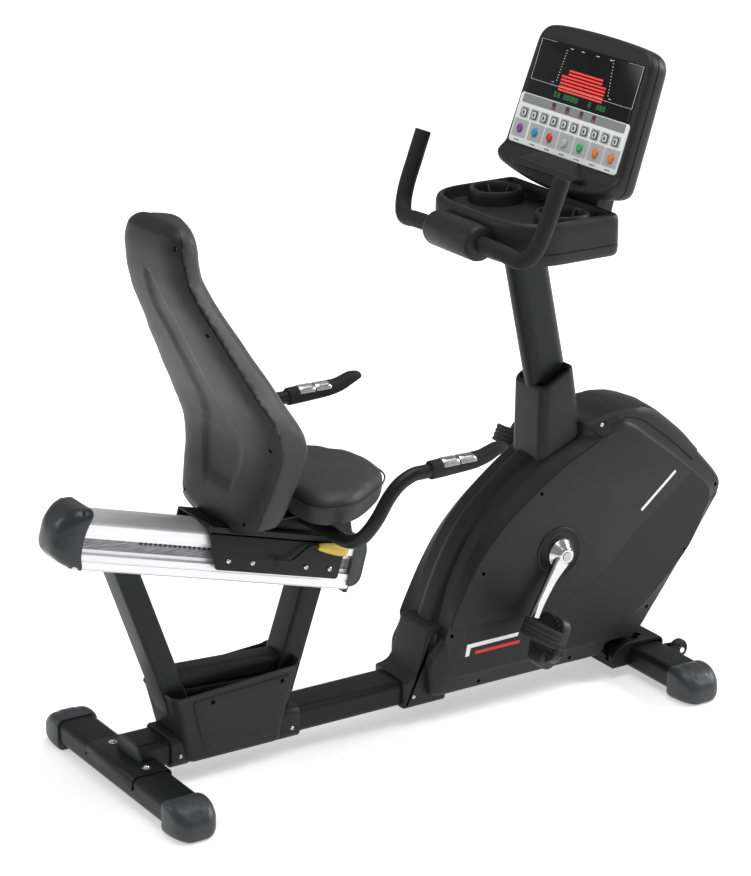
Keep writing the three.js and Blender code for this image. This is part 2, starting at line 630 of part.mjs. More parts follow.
// Upper handlebar: two upright grips joined through the roll
const gripTop = new THREE.Vector3(850, 246, 1172);
const halfHandle = [[gripTop.x, gripTop.y, gripTop.z], [828, 245, 1115], [808, 243, 1064],
  [793, 232, 1027], [781, 206, 1010], [776, 160, 1014], [ROLL.x, 118, ROLL.z], [ROLL.x, 84, ROLL.z]];
const handlePoints = [...halfHandle, ...halfHandle.toReversed().map(([x, y, z]) => [x, -y, z])]
  .map(([x, y, z]) => new THREE.Vector3(x, y, z));
addPiece('handlebar', bar(new THREE.CatmullRomCurve3(handlePoints, false, 'centripetal'),
  HANDLE_RADIUS, 44), foam);

// Console head, built in its own frame: a is towards the rider's right, b is up the face
const facePlace = new THREE.Matrix4().makeBasis(new THREE.Vector3(0, -1, 0),
  new THREE.Vector3(Math.sin(FACE.lean), 0, Math.cos(FACE.lean)),
  new THREE.Vector3(-Math.cos(FACE.lean), 0, Math.sin(FACE.lean)))
  .setPosition(FACE.x, 0, FACE.z);
const onFace = (geometry) => geometry.applyMatrix4(facePlace);
const faceOutline = (shrink) => {
  const shape = new THREE.Shape();
  const at = (a, b) => [a - Math.sign(a) * shrink, b - Math.sign(b) * shrink];
  shape.moveTo(...at(-193, 118));
  shape.lineTo(...at(-202, -126));
  shape.quadraticCurveTo(...at(-203, -148), ...at(-170, -157));
  shape.quadraticCurveTo(0, -196 + shrink, ...at(170, -157));
  shape.quadraticCurveTo(...at(203, -148), ...at(202, -126));
  shape.lineTo(...at(193, 118));
  shape.quadraticCurveTo(...at(190, 142), ...at(162, 144));
  shape.quadraticCurveTo(0, 160 - shrink, ...at(-162, 144));
  shape.quadraticCurveTo(...at(-190, 142), ...at(-193, 118));
  return shape;
};
const consoleCase = solid(slab(faceOutline(0), -52, 0, 9, { segments: 2 }))
  .add(solid(slab(faceOutline(62), -84, -40, 16, { segments: 2 })));
addPiece('console_case', onFace(surface(consoleCase)), housingPlastic);
addPiece('display_window', onFace(slab(rectangle(-175, 27, 175, 113, 4), GAP, 2.4)), glossBlack);

const keyPlaces = Array.from({ length: KEY.count }, (_, i) => (i - 3) * KEY.pitch);
const panel = rectangle(-186, -109, 186, -4, 8);
panel.holes.push(...keyPlaces.map((a) => circle(a, KEY.up, KEY.radius + 0.6)));
addPiece('keypad_panel', onFace(slab(panel, GAP, 3.4, 0, { curve: 7 })), keypadWhite);
const keyDome = [[0, 1.8], [KEY.radius, 1.8], [KEY.radius, 4.2], [6.6, 6], [0, 7]]
  .map(([radius, height]) => new THREE.Vector2(radius, height));
keyPlaces.forEach((a, i) => {
  const dome = new THREE.LatheGeometry(keyDome, 12).rotateX(Math.PI / 2).translate(a, KEY.up, 0);
  addPiece(`key_${i + 1}`, onFace(dome), finish(keyColours[i], 0.3, 0));
});

// Ledge for a book or tablet, screwed to the chin of the console
const ledgeOutline = roundedOutline([[-112, -112], [112, -112], [96, -136], [-96, -136]]);
addPiece('reading_ledge', onFace(slab(ledgeOutline, GAP, 30, 2, { segments: 1 })), housingPlastic);

// Neck between the tray and the back of the console
const neckOutline = roundedOutline([[1042, 990], [1088, 990], [1118, 1110], [1092, 1130],
  [1060, 1090]]);
const consoleRoom = solid(onFace(slab(faceOutline(-GAP), -90, 8)));
addPiece('console_neck', surface(solid(sideSlab(neckOutline, -80, 80, 6, { segments: 1 }))
  .subtract(consoleRoom)), housingPlastic);

// Seat ------------------------------------------------------------------------------------

// Backrest shape: [z, rear parting line x, front face x, half width]
const backStations = [[536, 214, 276, 143], [570, 224, 289, 154], [635, 242, 308, 174],
  [683, 248, 319, 192], [735, 236, 306, 208], [767, 224, 287, 207], [837, 188, 246, 184],
  [911, 152, 203, 160], [985, 115, 160, 138], [1038, 95, 137, 119], [1090, 88, 129, 108],
  [1128, 92, 125, 97], [1146, 96, 122, 70]];

// One level of the backrest between two depths; bulge pushes the middle out
function backRing([z, rear, front, width], from, to, bulge) {
  const depth = front - rear;
  const ring = [];
  const steps = 8;
  for (let i = 0; i <= steps; i++) {
    const v = -1 + (2 * i) / steps;
    ring.push([rear + from * depth - bulge[0] * (1 - v * v), v * width * 0.985, z]);
  }
  for (let i = 0; i <= steps; i++) {
    const v = 1 - (2 * i) / steps;
    ring.push([rear + to * depth + bulge[1] * (1 - v * v), v * width * (to > 0.5 ? 0.9 : 1), z]);
  }
  return ring;
}

// Welded seat frame on the carriage: side wedges under the seat and an upright in the backrest
const uprightPath = backStations.slice(0, 4).map(([z, rear]) => [rear + 14, z]);
const uprightOutline = (grow) => new THREE.Shape([
  [196, 500], ...uprightPath.map(([x, z], i) => [x - grow, z + (i === 3 ? grow : 0)]),
  ...uprightPath.toReversed().map(([x, z], i) => [x + 14 + grow, z + (i === 0 ? grow : 0)]),
  [262, 500]].map(([x, z]) => new THREE.Vector2(x, z)).reverse());
const upright = (grow) => solid(sideSlab(uprightOutline(grow), -45 - grow, 45 + grow));

const cushion = solid(loft(backStations.map((station) =>
  backRing(station, 0.01, 1, [0, 4]))));
addPiece('backrest_cushion', surface(cushion.subtract(upright(GAP + 0.6))), vinyl);
addPiece('backrest_shell', loft(backStations.map((station) =>
  backRing(station, -0.07, -0.01, [20, 0]))), housingPlastic);

const carriagePlate = roundedOutline([[290, -25, 6], [574, -25, 6], [580, 64, 3], [252, 64, 3],
  [254, 48, 3]]);
const railRoom = solid(onRail(longSlab(rectangle(-60, -80, 60, 60, 8), 100, 700)));
const carriageShell = solid(onRail(sideSlab(carriagePlate, -64, 64))).subtract(railRoom);
const wedge = roundedOutline([[296, 480], [330, 470], [500, 430], [470, 526], [306, 526]]);
let seatFrame = carriageShell;
for (const side of [-1, 1]) {
  seatFrame = seatFrame.add(solid(sideSlab(wedge, side * 40 - 3, side * 40 + 3)));
}
seatFrame = seatFrame.add(solid(new THREE.BoxGeometry(168, 160, 4).translate(388, 0, 524 + 2)));
const belowTop = solid(onRail(longSlab(rectangle(-59, -200, 59, 60, 1), 0, 700)));
const barRoomCurve = new THREE.LineCurve3(new THREE.Vector3(385, -300, 505),
  new THREE.Vector3(385, 300, 505));
seatFrame = seatFrame.add(upright(0)).subtract(belowTop)
  .subtract(solid(bar(barRoomCurve, BAR_RADIUS + 1, 1, 16)));
addPiece('seat_carriage', surface(seatFrame), framePaint);

// Seat cushion: shield-shaped pad, flat underneath
const seatPlan = new THREE.SplineCurve([[572, 0], [564, 60], [520, 118], [462, 170], [405, 195],
  [352, 184], [326, 140], [322, 0], [326, -140], [352, -184], [405, -195], [462, -170],
  [520, -118], [564, -60], [572, 0]].map(([x, y]) => new THREE.Vector2(x, y)));
const seatLevels = [[530, 0.9], [540, 0.96], [560, 1], [577, 0.99], [590, 0.9], [598, 0.6]];
const seatMiddle = new THREE.Vector2(440, 0);
addPiece('seat_cushion', loft(seatLevels.map(([z, scale]) => seatPlan.getPoints(40).slice(0, -1)
  .map((point) => point.clone().sub(seatMiddle).multiplyScalar(scale).add(seatMiddle))
  .map((point) => [point.x, point.y, z]))), vinyl);

// Side bar under the seat with a pulse grip at each end
const GRIP = { x: 531, y: 270, z: 643 };
const halfBar = [[GRIP.x - GAP, GRIP.y, GRIP.z], [515, 270, 643], [492, 270, 641.6],
  [461, 271, 628], [436, 271, 603], [412, 267, 563], [393, 246, 525], [385, 205, 506],
  [385, 120, 505]];
const barPoints = [...halfBar, ...halfBar.toReversed().map(([x, y, z]) => [x, -y, z])]
  .map(([x, y, z]) => new THREE.Vector3(x, y, z));
addPiece('side_bar', bar(new THREE.CatmullRomCurve3(barPoints, false, 'centripetal'),
  BAR_RADIUS, 52), framePaint);

const gripOutline = roundedOutline([[531, 626], [531, 661], [632, 664, 8], [656, 659, 10],
  [690, 671, 8], [711, 664], [711, 650], [664, 624, 8]]);
for (const [name, side] of [['side_grip_left', 1], ['side_grip_right', -1]]) {
  addPiece(name, sideSlab(gripOutline, side * GRIP.y - 17, side * GRIP.y + 17, 5,
    { segments: 2 }), foam);
}

// Seat release: guide box on the carriage side, cranked lever and knob
const LEVER = { s: 372, h: 8, y: 78 };
const guideOutline = roundedOutline([[398, -18], [432, -18], [432, 44], [404, 44]], 4);
const guideSlot = solid(onRail(new THREE.BoxGeometry(60, 10, 44).translate(430, -LEVER.y, 14)));
addPiece('lever_guide', surface(solid(onRail(sideSlab(guideOutline, -86, -64 - GAP)))
  .subtract(guideSlot)), housingPlastic);
const leverPoints = [[408, LEVER.h], [440, LEVER.h], [452, 12], [478, 38], [488, 42], [505, 42]]
  .map(([s, h]) => new THREE.Vector3(s, -LEVER.y, h));
addPiece('adjust_lever', onRail(bar(new THREE.CatmullRomCurve3(leverPoints), 3, 24, 8)), steel);
const knobProfile = [[0, 0], [6, 0.5], [7.5, 3], [8.5, 20], [11, 38], [12.5, 50], [12, 58],
  [8.5, 64], [0, 67]].map(([radius, along]) => new THREE.Vector2(radius, along));
addPiece('lever_knob', onRail(new THREE.LatheGeometry(knobProfile, 20).rotateZ(-Math.PI / 2)
  .translate(505 + GAP, -LEVER.y, 42)), knobYellow);

export default bike;
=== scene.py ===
import math

import bmesh
import bpy
from mathutils import Matrix, Vector


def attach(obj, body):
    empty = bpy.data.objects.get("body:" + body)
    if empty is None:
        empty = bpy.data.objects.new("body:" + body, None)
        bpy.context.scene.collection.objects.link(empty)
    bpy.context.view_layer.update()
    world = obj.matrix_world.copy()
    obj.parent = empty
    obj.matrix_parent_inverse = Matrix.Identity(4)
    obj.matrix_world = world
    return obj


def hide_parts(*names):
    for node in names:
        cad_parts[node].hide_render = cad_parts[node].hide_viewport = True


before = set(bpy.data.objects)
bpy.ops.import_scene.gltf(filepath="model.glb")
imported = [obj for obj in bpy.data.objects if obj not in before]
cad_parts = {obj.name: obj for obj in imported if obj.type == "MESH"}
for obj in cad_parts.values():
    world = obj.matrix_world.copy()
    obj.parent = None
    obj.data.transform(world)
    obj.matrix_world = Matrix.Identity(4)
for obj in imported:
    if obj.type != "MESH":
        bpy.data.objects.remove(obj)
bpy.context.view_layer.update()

# Stabilisers: two painted steel tubes that lie across the floor. Each is cut from rounded
# rectangular tube, powder coated in black, and plugged at both ends with a moulded cap.

MIDDLE = 0.62341  # the bike's middle, in metres forward of the rear stabiliser


def at(x, y, z):
    """A place from millimetres forward of the rear stabiliser, to the rider's left and up."""
    return Vector((x / 1000 - MIDDLE, y / 1000, z / 1000))


def across(x, z, y):
    return at(x, y, z)


def along(y, z, x):
    return at(x, y, z)


def upward(x, y, z):
    return at(x, y, z)


class Shade:
    """One output of a shader node. Sums and products of it add the Math nodes they need."""

    def __init__(self, tree, socket=None):
        self.tree, self.socket = tree, socket

    def node(self, kind, settings=None, sockets=None, output=0):
        made = self.tree.nodes.new("ShaderNode" + kind)
        for name, value in (settings or {}).items():
            if name == "stops":
                stops = made.color_ramp.elements
                while len(stops) < len(value):
                    stops.new(1.0)
                for stop, (place, colour) in zip(stops, value):
                    stop.position, stop.color = place, (*colour, 1.0)
            else:
                setattr(made, name, value)
        for name, value in (sockets or {}).items():
            if isinstance(value, Shade):
                self.tree.links.new(value.socket, made.inputs[name])
            else:
                made.inputs[name].default_value = value
        return Shade(self.tree, made.outputs[output])

    def math(self, operation, *values):
        return self.node("Math", {"operation": operation}, dict(enumerate(values)))

    def __add__(self, other):
        return self.math("ADD", self, other)

    def __radd__(self, other):
        return self.math("ADD", other, self)

    def __sub__(self, other):
        return self.math("SUBTRACT", self, other)

    def __rsub__(self, other):
        return self.math("SUBTRACT", other, self)

    def __mul__(self, other):
        return self.math("MULTIPLY", self, other)

    def __rmul__(self, other):
        return self.math("MULTIPLY", other, self)


def noise(spot, size, detail=2.0, stretch=(1, 1, 1)):
    """Soft noise with lumps of about size metres, drawn out along an axis by stretch."""
    scaled = spot.node("VectorMath", {"operation": "MULTIPLY"},
                       {0: spot, 1: tuple(1 / s for s in stretch)})
    return spot.node("TexNoise", None, {"Vector": scaled, "Scale": 1 / size, "Detail": detail})


def band(value, low, high):
    """0 below low, 1 above high and smooth between."""
    return value.node("MapRange", {"interpolation_type": "SMOOTHSTEP"},
                      {0: value, 1: low, 2: high, 3: 0.0, 4: 1.0})


def mix(factor, first, second):
    """Colour first where factor is 0 and second where it is 1."""
    colours = [(*c, 1.0) if isinstance(c, tuple) else c for c in (first, second)]
    return factor.node("Mix", {"data_type": "RGBA"},
                       {0: factor, 6: colours[0], 7: colours[1]}, output=2)


def bump(height, depth, strength=1.0):
    return height.node("Bump", None, {"Height": height, "Distance": depth,
                                      "Strength": strength})


def material(name, recipe, sockets=None):
    """A shader whose varying sockets come from recipe(spot), with spot in metres."""
    made = bpy.data.materials.new(name)
    made.use_nodes = True
    tree = made.node_tree
    shader = tree.nodes["Principled BSDF"]
    for socket, value in (sockets or {}).items():
        shader.inputs[socket].default_value = value
    spot = Shade(tree).node("TexCoord", output=3)
    for socket, shade in recipe(spot).items():
        tree.links.new(shade.socket, shader.inputs[socket])
    return made


def tinted(colour, by):
    return tuple(channel * by for channel in colour)


def powder_coat(spot):
    """Black polyester powder: orange-peel skin, a little dust and rubbed patches."""
    peel = noise(spot, 0.0022, 3.0)
    cloud = noise(spot, 0.09, 4.0)
    rub = band(noise(spot, 0.03, 6.0), 0.58, 0.72)
    return {
        "Base Color": mix(cloud, (0.0075, 0.0078, 0.0083), (0.0125, 0.0129, 0.0135)),
        "Roughness": 0.36 + 0.10 * cloud + 0.07 * rub,
        "Normal": bump(peel, 0.00012, 0.5),
    }


frame_paint = material("frame_powder_coat", powder_coat, {"Specular IOR Level": 0.22})


def piece(name, body, finish, form, stands_for=(), crisp=34):
    """A piece of the bike. Edges that turn by more than crisp degrees stay sharp."""
    bmesh.ops.recalc_face_normals(form, faces=form.faces)
    mesh = bpy.data.meshes.new(name)
    form.to_mesh(mesh)
    form.free()
    mesh.materials.append(finish)
    mesh.shade_smooth()
    mesh.set_sharp_from_angle(angle=math.radians(crisp))
    made = bpy.data.objects.new(name, mesh)
    bpy.context.scene.collection.objects.link(made)
    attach(made, body)
    if stands_for:
        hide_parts(*stands_for)
    return made


def eased(points, radius=0.0, steps=6):
    """An outline with rounded corners. A third number is that corner's own radius."""
    line = []
    for i, point in enumerate(points):
        corner = Vector(point[:2])
        reach = point[2] if len(point) > 2 else radius
        if reach <= 0:
            line.append(tuple(corner))
            continue
        back = (Vector(points[i - 1][:2]) - corner).normalized()
        onward = (Vector(points[(i + 1) % len(points)][:2]) - corner).normalized()
        half = back.angle(onward) / 2
        run = reach / math.tan(half)
        centre = corner + (back + onward).normalized() * (reach / math.sin(half))
        start, end = corner + back * run - centre, corner + onward * run - centre
        for k in range(steps + 1):
            spoke = start.lerp(end, k / steps)
            line.append(tuple(centre + spoke.normalized() * reach))
    return line


def rectangle(a0, b0, a1, b1, radius, steps=6):
    return eased([(a0, b0), (a1, b0), (a1, b1), (a0, b1)], radius, steps)


def inset(outline, amount):
    """The outline moved inwards by amount; it keeps its number of points."""
    area = sum(a[0] * b[1] - b[0] * a[1] for a, b in zip(outline, outline[1:] + outline[:1]))
    sign = 1 if area > 0 else -1
    moved = []
    for i, point in enumerate(outline):
        here = Vector(point)
        back = (here - Vector(outline[i - 1])).normalized()
        onward = (Vector(outline[(i + 1) % len(outline)]) - here).normalized()
        mean = (back + onward).normalized()
        normal = Vector((-mean.y, mean.x)) * sign
        share = max(0.35, mean.dot(back))
        moved.append(tuple(here + normal * (amount / share)))
    return moved


def skin(rings, ends=True):
    """A closed surface through rings of equal point count."""
    form = bmesh.new()
    levels = [[form.verts.new(point) for point in ring] for ring in rings]
    count = len(rings[0])
    for low, high in zip(levels, levels[1:]):
        for i in range(count):
            j = (i + 1) % count
            form.faces.new((low[i], low[j], high[j], high[i]))
    if ends:
        form.faces.new(levels[0][::-1])
        form.faces.new(levels[-1])
    return form


def moulding(outline, low, high, place, rims=(0.0, 0.0), steps=4, run=None):
    """The outline from low to high, with its low and high rims rounded over. run is how far
    a rim comes in, if not as far as it is deep."""
    rings = []
    low_rim, high_rim = rims
    for k in range(steps if low_rim > 0 else 1):
        turn = math.pi / 2 * k / steps if low_rim > 0 else math.pi / 2
        rings.append(((run or low_rim) * (1 - math.sin(turn)) if low_rim > 0 else 0,
                      low + low_rim * (1 - math.cos(turn)) if low_rim > 0 else low))
    rings.append((0, low + low_rim)) if low_rim > 0 else None
    if high_rim > 0:
        rings.append((0, high - high_rim))
        for k in range(1, steps + 1):
            turn = math.pi / 2 * k / steps
            rings.append(((run or high_rim) * (1 - math.cos(turn)),
                          high - high_rim + high_rim * math.sin(turn)))
    else:
        rings.append((0, high))
    return skin([[place(a, b, c) for a, b in inset(outline, in_by)] if in_by else
                 [place(a, b, c) for a, b in outline] for in_by, c in rings])


def joined(*forms):
    """Several forms as one."""
    for extra in forms[1:]:
        spare = bpy.data.meshes.new("spare")
        extra.to_mesh(spare)
        forms[0].from_mesh(spare)
        extra.free()
        bpy.data.meshes.remove(spare)
    return forms[0]


def turned(profile, place, sides=36):
    """A lathe-turned form from (radius, along) pairs; place takes across, across, along."""
    return skin([[place(max(r, 0.02) * math.cos(2 * math.pi * k / sides),
                        max(r, 0.02) * math.sin(2 * math.pi * k / sides), c)
                  for k in range(sides)] for r, c in profile])


def carved(form, *tools):
    """form with each tool cut out of it."""
    spares = []
    for each in (form, *tools):
        bmesh.ops.recalc_face_normals(each, faces=each.faces)
        mesh = bpy.data.meshes.new("spare")
        each.to_mesh(mesh)
        each.free()
        spares.append(bpy.data.objects.new("spare", mesh))
        bpy.context.scene.collection.objects.link(spares[-1])
    for tool in spares[1:]:
        cut = spares[0].modifiers.new("cut", "BOOLEAN")
        cut.object, cut.operation, cut.solver = tool, "DIFFERENCE", "EXACT"
    bpy.context.view_layer.update()
    worked = spares[0].evaluated_get(bpy.context.evaluated_depsgraph_get()).to_mesh()
    result = bmesh.new()
    result.from_mesh(worked)
    for spare in spares:
        mesh = spare.data
        bpy.data.objects.remove(spare)
        bpy.data.meshes.remove(mesh)
    return result


def shifted(place, da, db, dc=0):
    """The same placing, with its zero moved."""
    return lambda a, b, c: place(a + da, b + db, c + dc)


TUBE = rectangle(-41, 13, 41, 64, 14)
FRONT_X = 1213


def across_at(x):
    return shifted(across, x, 0)


piece("rear_floor_tube", "frame", frame_paint, moulding(TUBE, -244, 244, across),
      ["rear_stabilizer"])

EAR = eased([(30, 24), (70, 36), (78, 40), (78, 52), (70, 56), (30, 60)], 3)
ears = [moulding(EAR, y - 1.6, y + 1.6, across_at(FRONT_X), (0.6, 0.6), 2)
        for y in (-119, -97, 97, 119)]
pins = [turned([(0, -14.5), (6, -14.5), (6.5, -13), (6.5, -11), (4, -11), (4, 11), (6.5, 11),
                (6.5, 13), (6, 14.5), (0, 14.5)], shifted(across_at(FRONT_X), 71, 46, y), 16)
        for y in (-108, 108)]
piece("front_floor_tube", "frame", frame_paint,
      joined(moulding(TUBE, -244, 244, across_at(FRONT_X)), *ears),
      ["front_stabilizer"])


# End caps: satin grey polypropylene mouldings pushed into the tubes. A shallow tongue runs over
# the top and down the nose of each, and the underside is the flat foot that meets the floor.

# The last argument sets how strongly upward faces are painted lighter.
def moulded(tone, rough, grain=0.0011, depth=0.00007, top_light=0.012):
    """Spark-textured plastic: fine grain, slow changes of tone, and painted light that lightens
    upward faces in patches.
    """
    def recipe(spot):
        grains = noise(spot, grain, 2.0)
        cloud = noise(spot, 0.07, 3.0)
        facing = spot.node("SeparateXYZ", None, {0: spot.node("NewGeometry", output=1)},
                           output=2)
        # Painted light: faces that point up are mixed towards a lighter tone, in patches, as if lit
        # from above.
        lit_top = band(facing, 0.5, 1.0) * noise(spot, 0.012, 5.0)
        toned = mix(cloud, tinted(tone, 0.86), tinted(tone, 1.14))
        return {
            "Base Color": mix(lit_top * top_light * 8, toned, tinted(tone, 1.7)),
            "Roughness": rough + 0.10 * cloud - 0.05 + 0.12 * (grains - 0.5),
            "Normal": bump(grains, depth, 0.7),
        }
    return recipe


cap_plastic = material("cap_plastic", moulded((0.040, 0.042, 0.045), 0.40, 0.0009, 0.00004),
                       {"Specular IOR Level": 0.35})

# distance out, half length, underside, top, corner radius
CAP_STATIONS = [(0, 45, 0, 66.5, 13), (10, 46.5, 0, 69, 14), (24, 47, 0, 70, 16),
                (38, 46.5, 0, 68.5, 18), (50, 45, 0, 64, 20), (60, 42, 0.3, 58, 21),
                (69, 36, 1.2, 50, 19), (75, 29, 4, 43, 17), (78, 20, 9, 36, 12)]


def spline(values, steps):
    """Tuples of numbers joined by a smooth curve, with steps pieces between each two."""
    line = []
    for i in range(len(values) - 1):
        p0, p1 = values[max(i - 1, 0)], values[i]
        p2, p3 = values[i + 1], values[min(i + 2, len(values) - 1)]
        for k in range(steps):
            t = k / steps
            line.append(tuple(
                0.5 * (2 * b + (c - a) * t + (2 * a - 5 * b + 4 * c - d) * t * t
                       + (3 * b - a - 3 * c + d) * t ** 3)
                for a, b, c, d in zip(p0, p1, p2, p3)))
    line.append(tuple(values[-1]))
    return line


def step(value, low, high):
    """The same smooth step, in numbers."""
    t = min(max((value - low) / (high - low), 0), 1)
    return t * t * (3 - 2 * t)


def densified(outline, gap):
    """The outline with points added so that none are further apart than gap."""
    line = []
    for a, b in zip(outline, outline[1:] + outline[:1]):
        count = max(1, round(math.dist(a, b) / gap))
        line += [tuple(p + (q - p) * k / count for p, q in zip(a, b)) for k in range(count)]
    return line


def even(outline, count):
    """count points evenly along the closed outline."""
    fine = densified(outline, 0.2)
    return [fine[int(k * len(fine) / count)] for k in range(count)]


def cap_rings(x, side):
    rings = []
    for out, half, low, high, radius in spline(CAP_STATIONS, 4):
        ring = []
        for a, b in even(rectangle(-half, low, half, high, radius, 7), 84):
            tongue = step(17 - abs(a), 0, 4) * step(out, 8, 14) * (1 - step(out, 58, 67))
            lift = 1.8 * tongue if b > high - 4 else 0
            ring.append(at(x + a, side * (220 + out), b + lift))
        rings.append(ring)
    return skin(rings)


for end, x in (("rear", 0), ("front", FRONT_X)):
    for hand, side in (("left", 1), ("right", -1)):
        piece(f"{end}_end_cap_{hand}", "frame", cap_plastic, cap_rings(x, side),
              [f"{end}_cap_{hand}"], 40)


# Beam: one long rounded steel tube joins the two stabilisers. Folded steel saddles are welded
# under its ends and bolted to the cross tubes with plated dome-head bolts.

BEAM = rectangle(-46, 43, 46, 98, 14, 8)
piece("long_beam", "frame", frame_paint, moulding(BEAM, 6, 1112, along),
      ["main_beam"])
D_PLUG = eased([(-46.5, 52, 6), (46.5, 52, 6), (46.5, 99, 26), (-46.5, 99, 26)], 0, 10)
piece("beam_plug", "frame", cap_plastic, moulding(D_PLUG, 0, 7.5, along, (3, 1)))

REAR_SADDLE = eased([(-43, 40, 2), (-43, 67, 15), (46, 67, 12), (46, 20, 2), (43, 20, 1),
                     (43, 64.5, 10), (-41, 64.5, 13), (-41, 40, 1)], 0, 5)
piece("rear_saddle_plate", "frame", frame_paint,
      moulding(REAR_SADDLE, -98, 98, across, (1, 1), 2), ["rear_saddle"])

FRONT_SADDLE = eased([(-88, 24, 3), (-88, 58, 20), (-52, 76.5, 26), (34, 76.5, 16),
                      (47, 66, 12), (47, 24, 3), (41.5, 24, 0), (41.5, 64.5, 12),
                      (-41.5, 64.5, 12), (-41.5, 24, 0)], 0, 6)
slot_s = eased([(-16, -13), (2, -13), (2, -3), (16, -3), (16, 13), (-2, 13), (-2, 3),
                (-16, 3)], 2, 3)
top_slots = [moulding(slot_s, 66, 90, shifted(upward, FRONT_X - 12, y)) for y in (-62, 62)]
rear_slots = [moulding([(b * 0.7, a * 0.8) for a, b in slot_s], FRONT_X - 95, FRONT_X - 76,
                       shifted(along, y, 50)) for y in (-62, 62)]
piece("front_saddle_bracket", "frame", frame_paint,
      carved(moulding(FRONT_SADDLE, -86, 86, across_at(FRONT_X), (3, 3), 4),
             *top_slots, *rear_slots), ["front_saddle"])


def zinc(spot):
    """Bright zinc plate with a faint yellow cast and fine scratches."""
    haze = noise(spot, 0.004, 5.0)
    return {"Base Color": mix(haze, (0.62, 0.62, 0.60), (0.82, 0.82, 0.80)),
            "Roughness": 0.16 + 0.2 * haze}


bolt_zinc = material("bolt_zinc", zinc, {"Metallic": 1.0})


def bolt(radius, place):
    """A dome-head bolt with a socket, its head standing up along the third axis."""
    r = radius
    return turned([(0, 0), (r, 0), (r, 0.14 * r), (0.93 * r, 0.42 * r), (0.72 * r, 0.66 * r),
                   (0.44 * r, 0.76 * r), (0.38 * r, 0.74 * r), (0.36 * r, 0.3 * r), (0, 0.28 * r)],
                  place, 20)


saddle_bolts = [bolt(6.2, shifted(upward, 4, y, 67)) for y in (-71, 71)]
washers = [turned([(0, 0), (9.5, 0), (9.5, 0.8), (9, 1.1), (0, 1.1)],
                  shifted(upward, 4, y, 66.4), 24) for y in (-71, 71)]
piece("rear_saddle_bolts", "frame", bolt_zinc, joined(*saddle_bolts, *washers))


# Transport wheels: small rubber-tyred rollers with a spoked hub, each on a steel pin between
# welded ears ahead of the front tube. They meet the floor when the rear end is lifted.

def soft_rubber(spot):
    """Black rubber with a dull bloom."""
    bloom = noise(spot, 0.02, 5.0)
    return {"Base Color": mix(bloom, (0.010, 0.010, 0.0105), (0.022, 0.022, 0.023)),
            "Roughness": 0.62 + 0.2 * bloom,
            "Normal": bump(noise(spot, 0.0008, 2.0), 0.00005, 0.6)}


black_rubber = material("black_rubber", soft_rubber)
TYRE = [(8, -8), (11.5, -8), (12.5, -6.5), (15, -6.5), (16, -8), (18.8, -7.6), (20.7, -5),
        (21, -2), (21, 2), (20.7, 5), (18.8, 7.6), (16, 8), (15, 6.5), (12.5, 6.5), (11.5, 8),
        (8, 8), (4.4, 7.4), (4.4, -7.4)]
for hand, y in (("left", 108), ("right", -108)):
    piece(f"roller_{hand}", f"{hand}_wheel", black_rubber,
          skin([[across(FRONT_X + 71 + r * math.cos(t), 46 + r * math.sin(t), y + c)
                 for t in (2 * math.pi * k / 40 for k in range(40))]
                for r, c in TYRE + TYRE[:1]], False),
          [f"transport_wheel_{hand}"])
piece("roller_pins", "frame", bolt_zinc, joined(*pins))


# Legs: two rectangular tubes lean together on the beam and carry the seat rail. A formed
# channel ties them, and a plastic bucket hides their welded feet.

REAR_LEG, FRONT_LEG = (122, -0.348), (322.8, 0.34)
PITCH = math.radians(15.6)


def leg_line(leg, z):
    return leg[0] + leg[1] * (z - 98.4)


def rail_underside(x):
    s = (x + 100 + 50 * math.sin(PITCH)) / math.cos(PITCH)
    return 546 - s * math.sin(PITCH) - 50.6 * math.cos(PITCH)


for name, leg in (("rear_leg", REAR_LEG), ("front_leg", FRONT_LEG)):
    rings = []
    for k in range(9):
        ring = []
        for a, b in rectangle(-26.5, -35, 26.5, 35, 8, 5):
            top = rail_underside(leg_line(leg, 480) + a)
            for _ in range(6):
                top = rail_underside(leg_line(leg, top) + a)
            z = 99 + (top - 99) * k / 8
            ring.append(at(leg_line(leg, z) + a, b, z))
        rings.append(ring)
    piece(f"{name}_tube", "frame", frame_paint, skin(rings), [name])

BRACE = eased([(-27, 176, 4), (27, 176, 4), (27, 188, 1), (23, 190, 1), (23, 195, 1),
               (27, 197, 1), (27, 232, 13), (-27, 232, 13), (-27, 197, 1), (-23, 195, 1),
               (-23, 190, 1), (-27, 188, 1)], 0, 5)
brace = skin([[at(leg_line(leg, b - drop) + reach, a, b - drop) for a, b in BRACE]
              for leg, reach, drop in ((REAR_LEG, 27, 0), (FRONT_LEG, -27, 13))])
piece("leg_tie", "frame", frame_paint, brace, ["leg_brace"])

housing_plastic = material("housing_plastic", moulded((0.0175, 0.0177, 0.0182), 0.46),
                           {"Specular IOR Level": 0.22})

# height, rear end, front end, half width
BUCKET = [(45, 106, 314, 56), (49, 102.5, 317.5, 59), (56, 101, 320, 60.5),
          (80, 95, 325, 61), (112, 87, 333, 62), (150, 79, 348, 63.5), (186, 70.5, 360, 65)]


def bucket_lift(a, u):
    """How far the lip rises: it runs uphill forwards and ends in small horns."""
    return u * ((a - 62) * 0.05 - 9 + 9 * step(a, 336, 362) + 5 * step(-a, -92, -70))


def bucket_ring(z, rear, front, half, radius):
    return [(a, b, z + bucket_lift(a, step(z, 120, 190)))
            for a, b in rectangle(rear, -half, front, half, radius, 6)]


rings = [bucket_ring(z, r, f, h, 17) for z, r, f, h in spline(BUCKET, 2)]
LIP = [(190, 69, 361.6, 66.6), (192.4, 68, 363, 68), (195, 68, 363, 68),
       (197, 69, 361.8, 67), (197.4, 71, 360, 65), (196, 72.6, 358.4, 63.4),
       (190, 74, 357, 62.4), (150, 83, 344, 59.5), (128, 87, 338, 57.5)]
rings += [bucket_ring(z, r, f, h, 15) for z, r, f, h in LIP]
bucket = skin([[at(*p) for p in ring] for ring in rings])


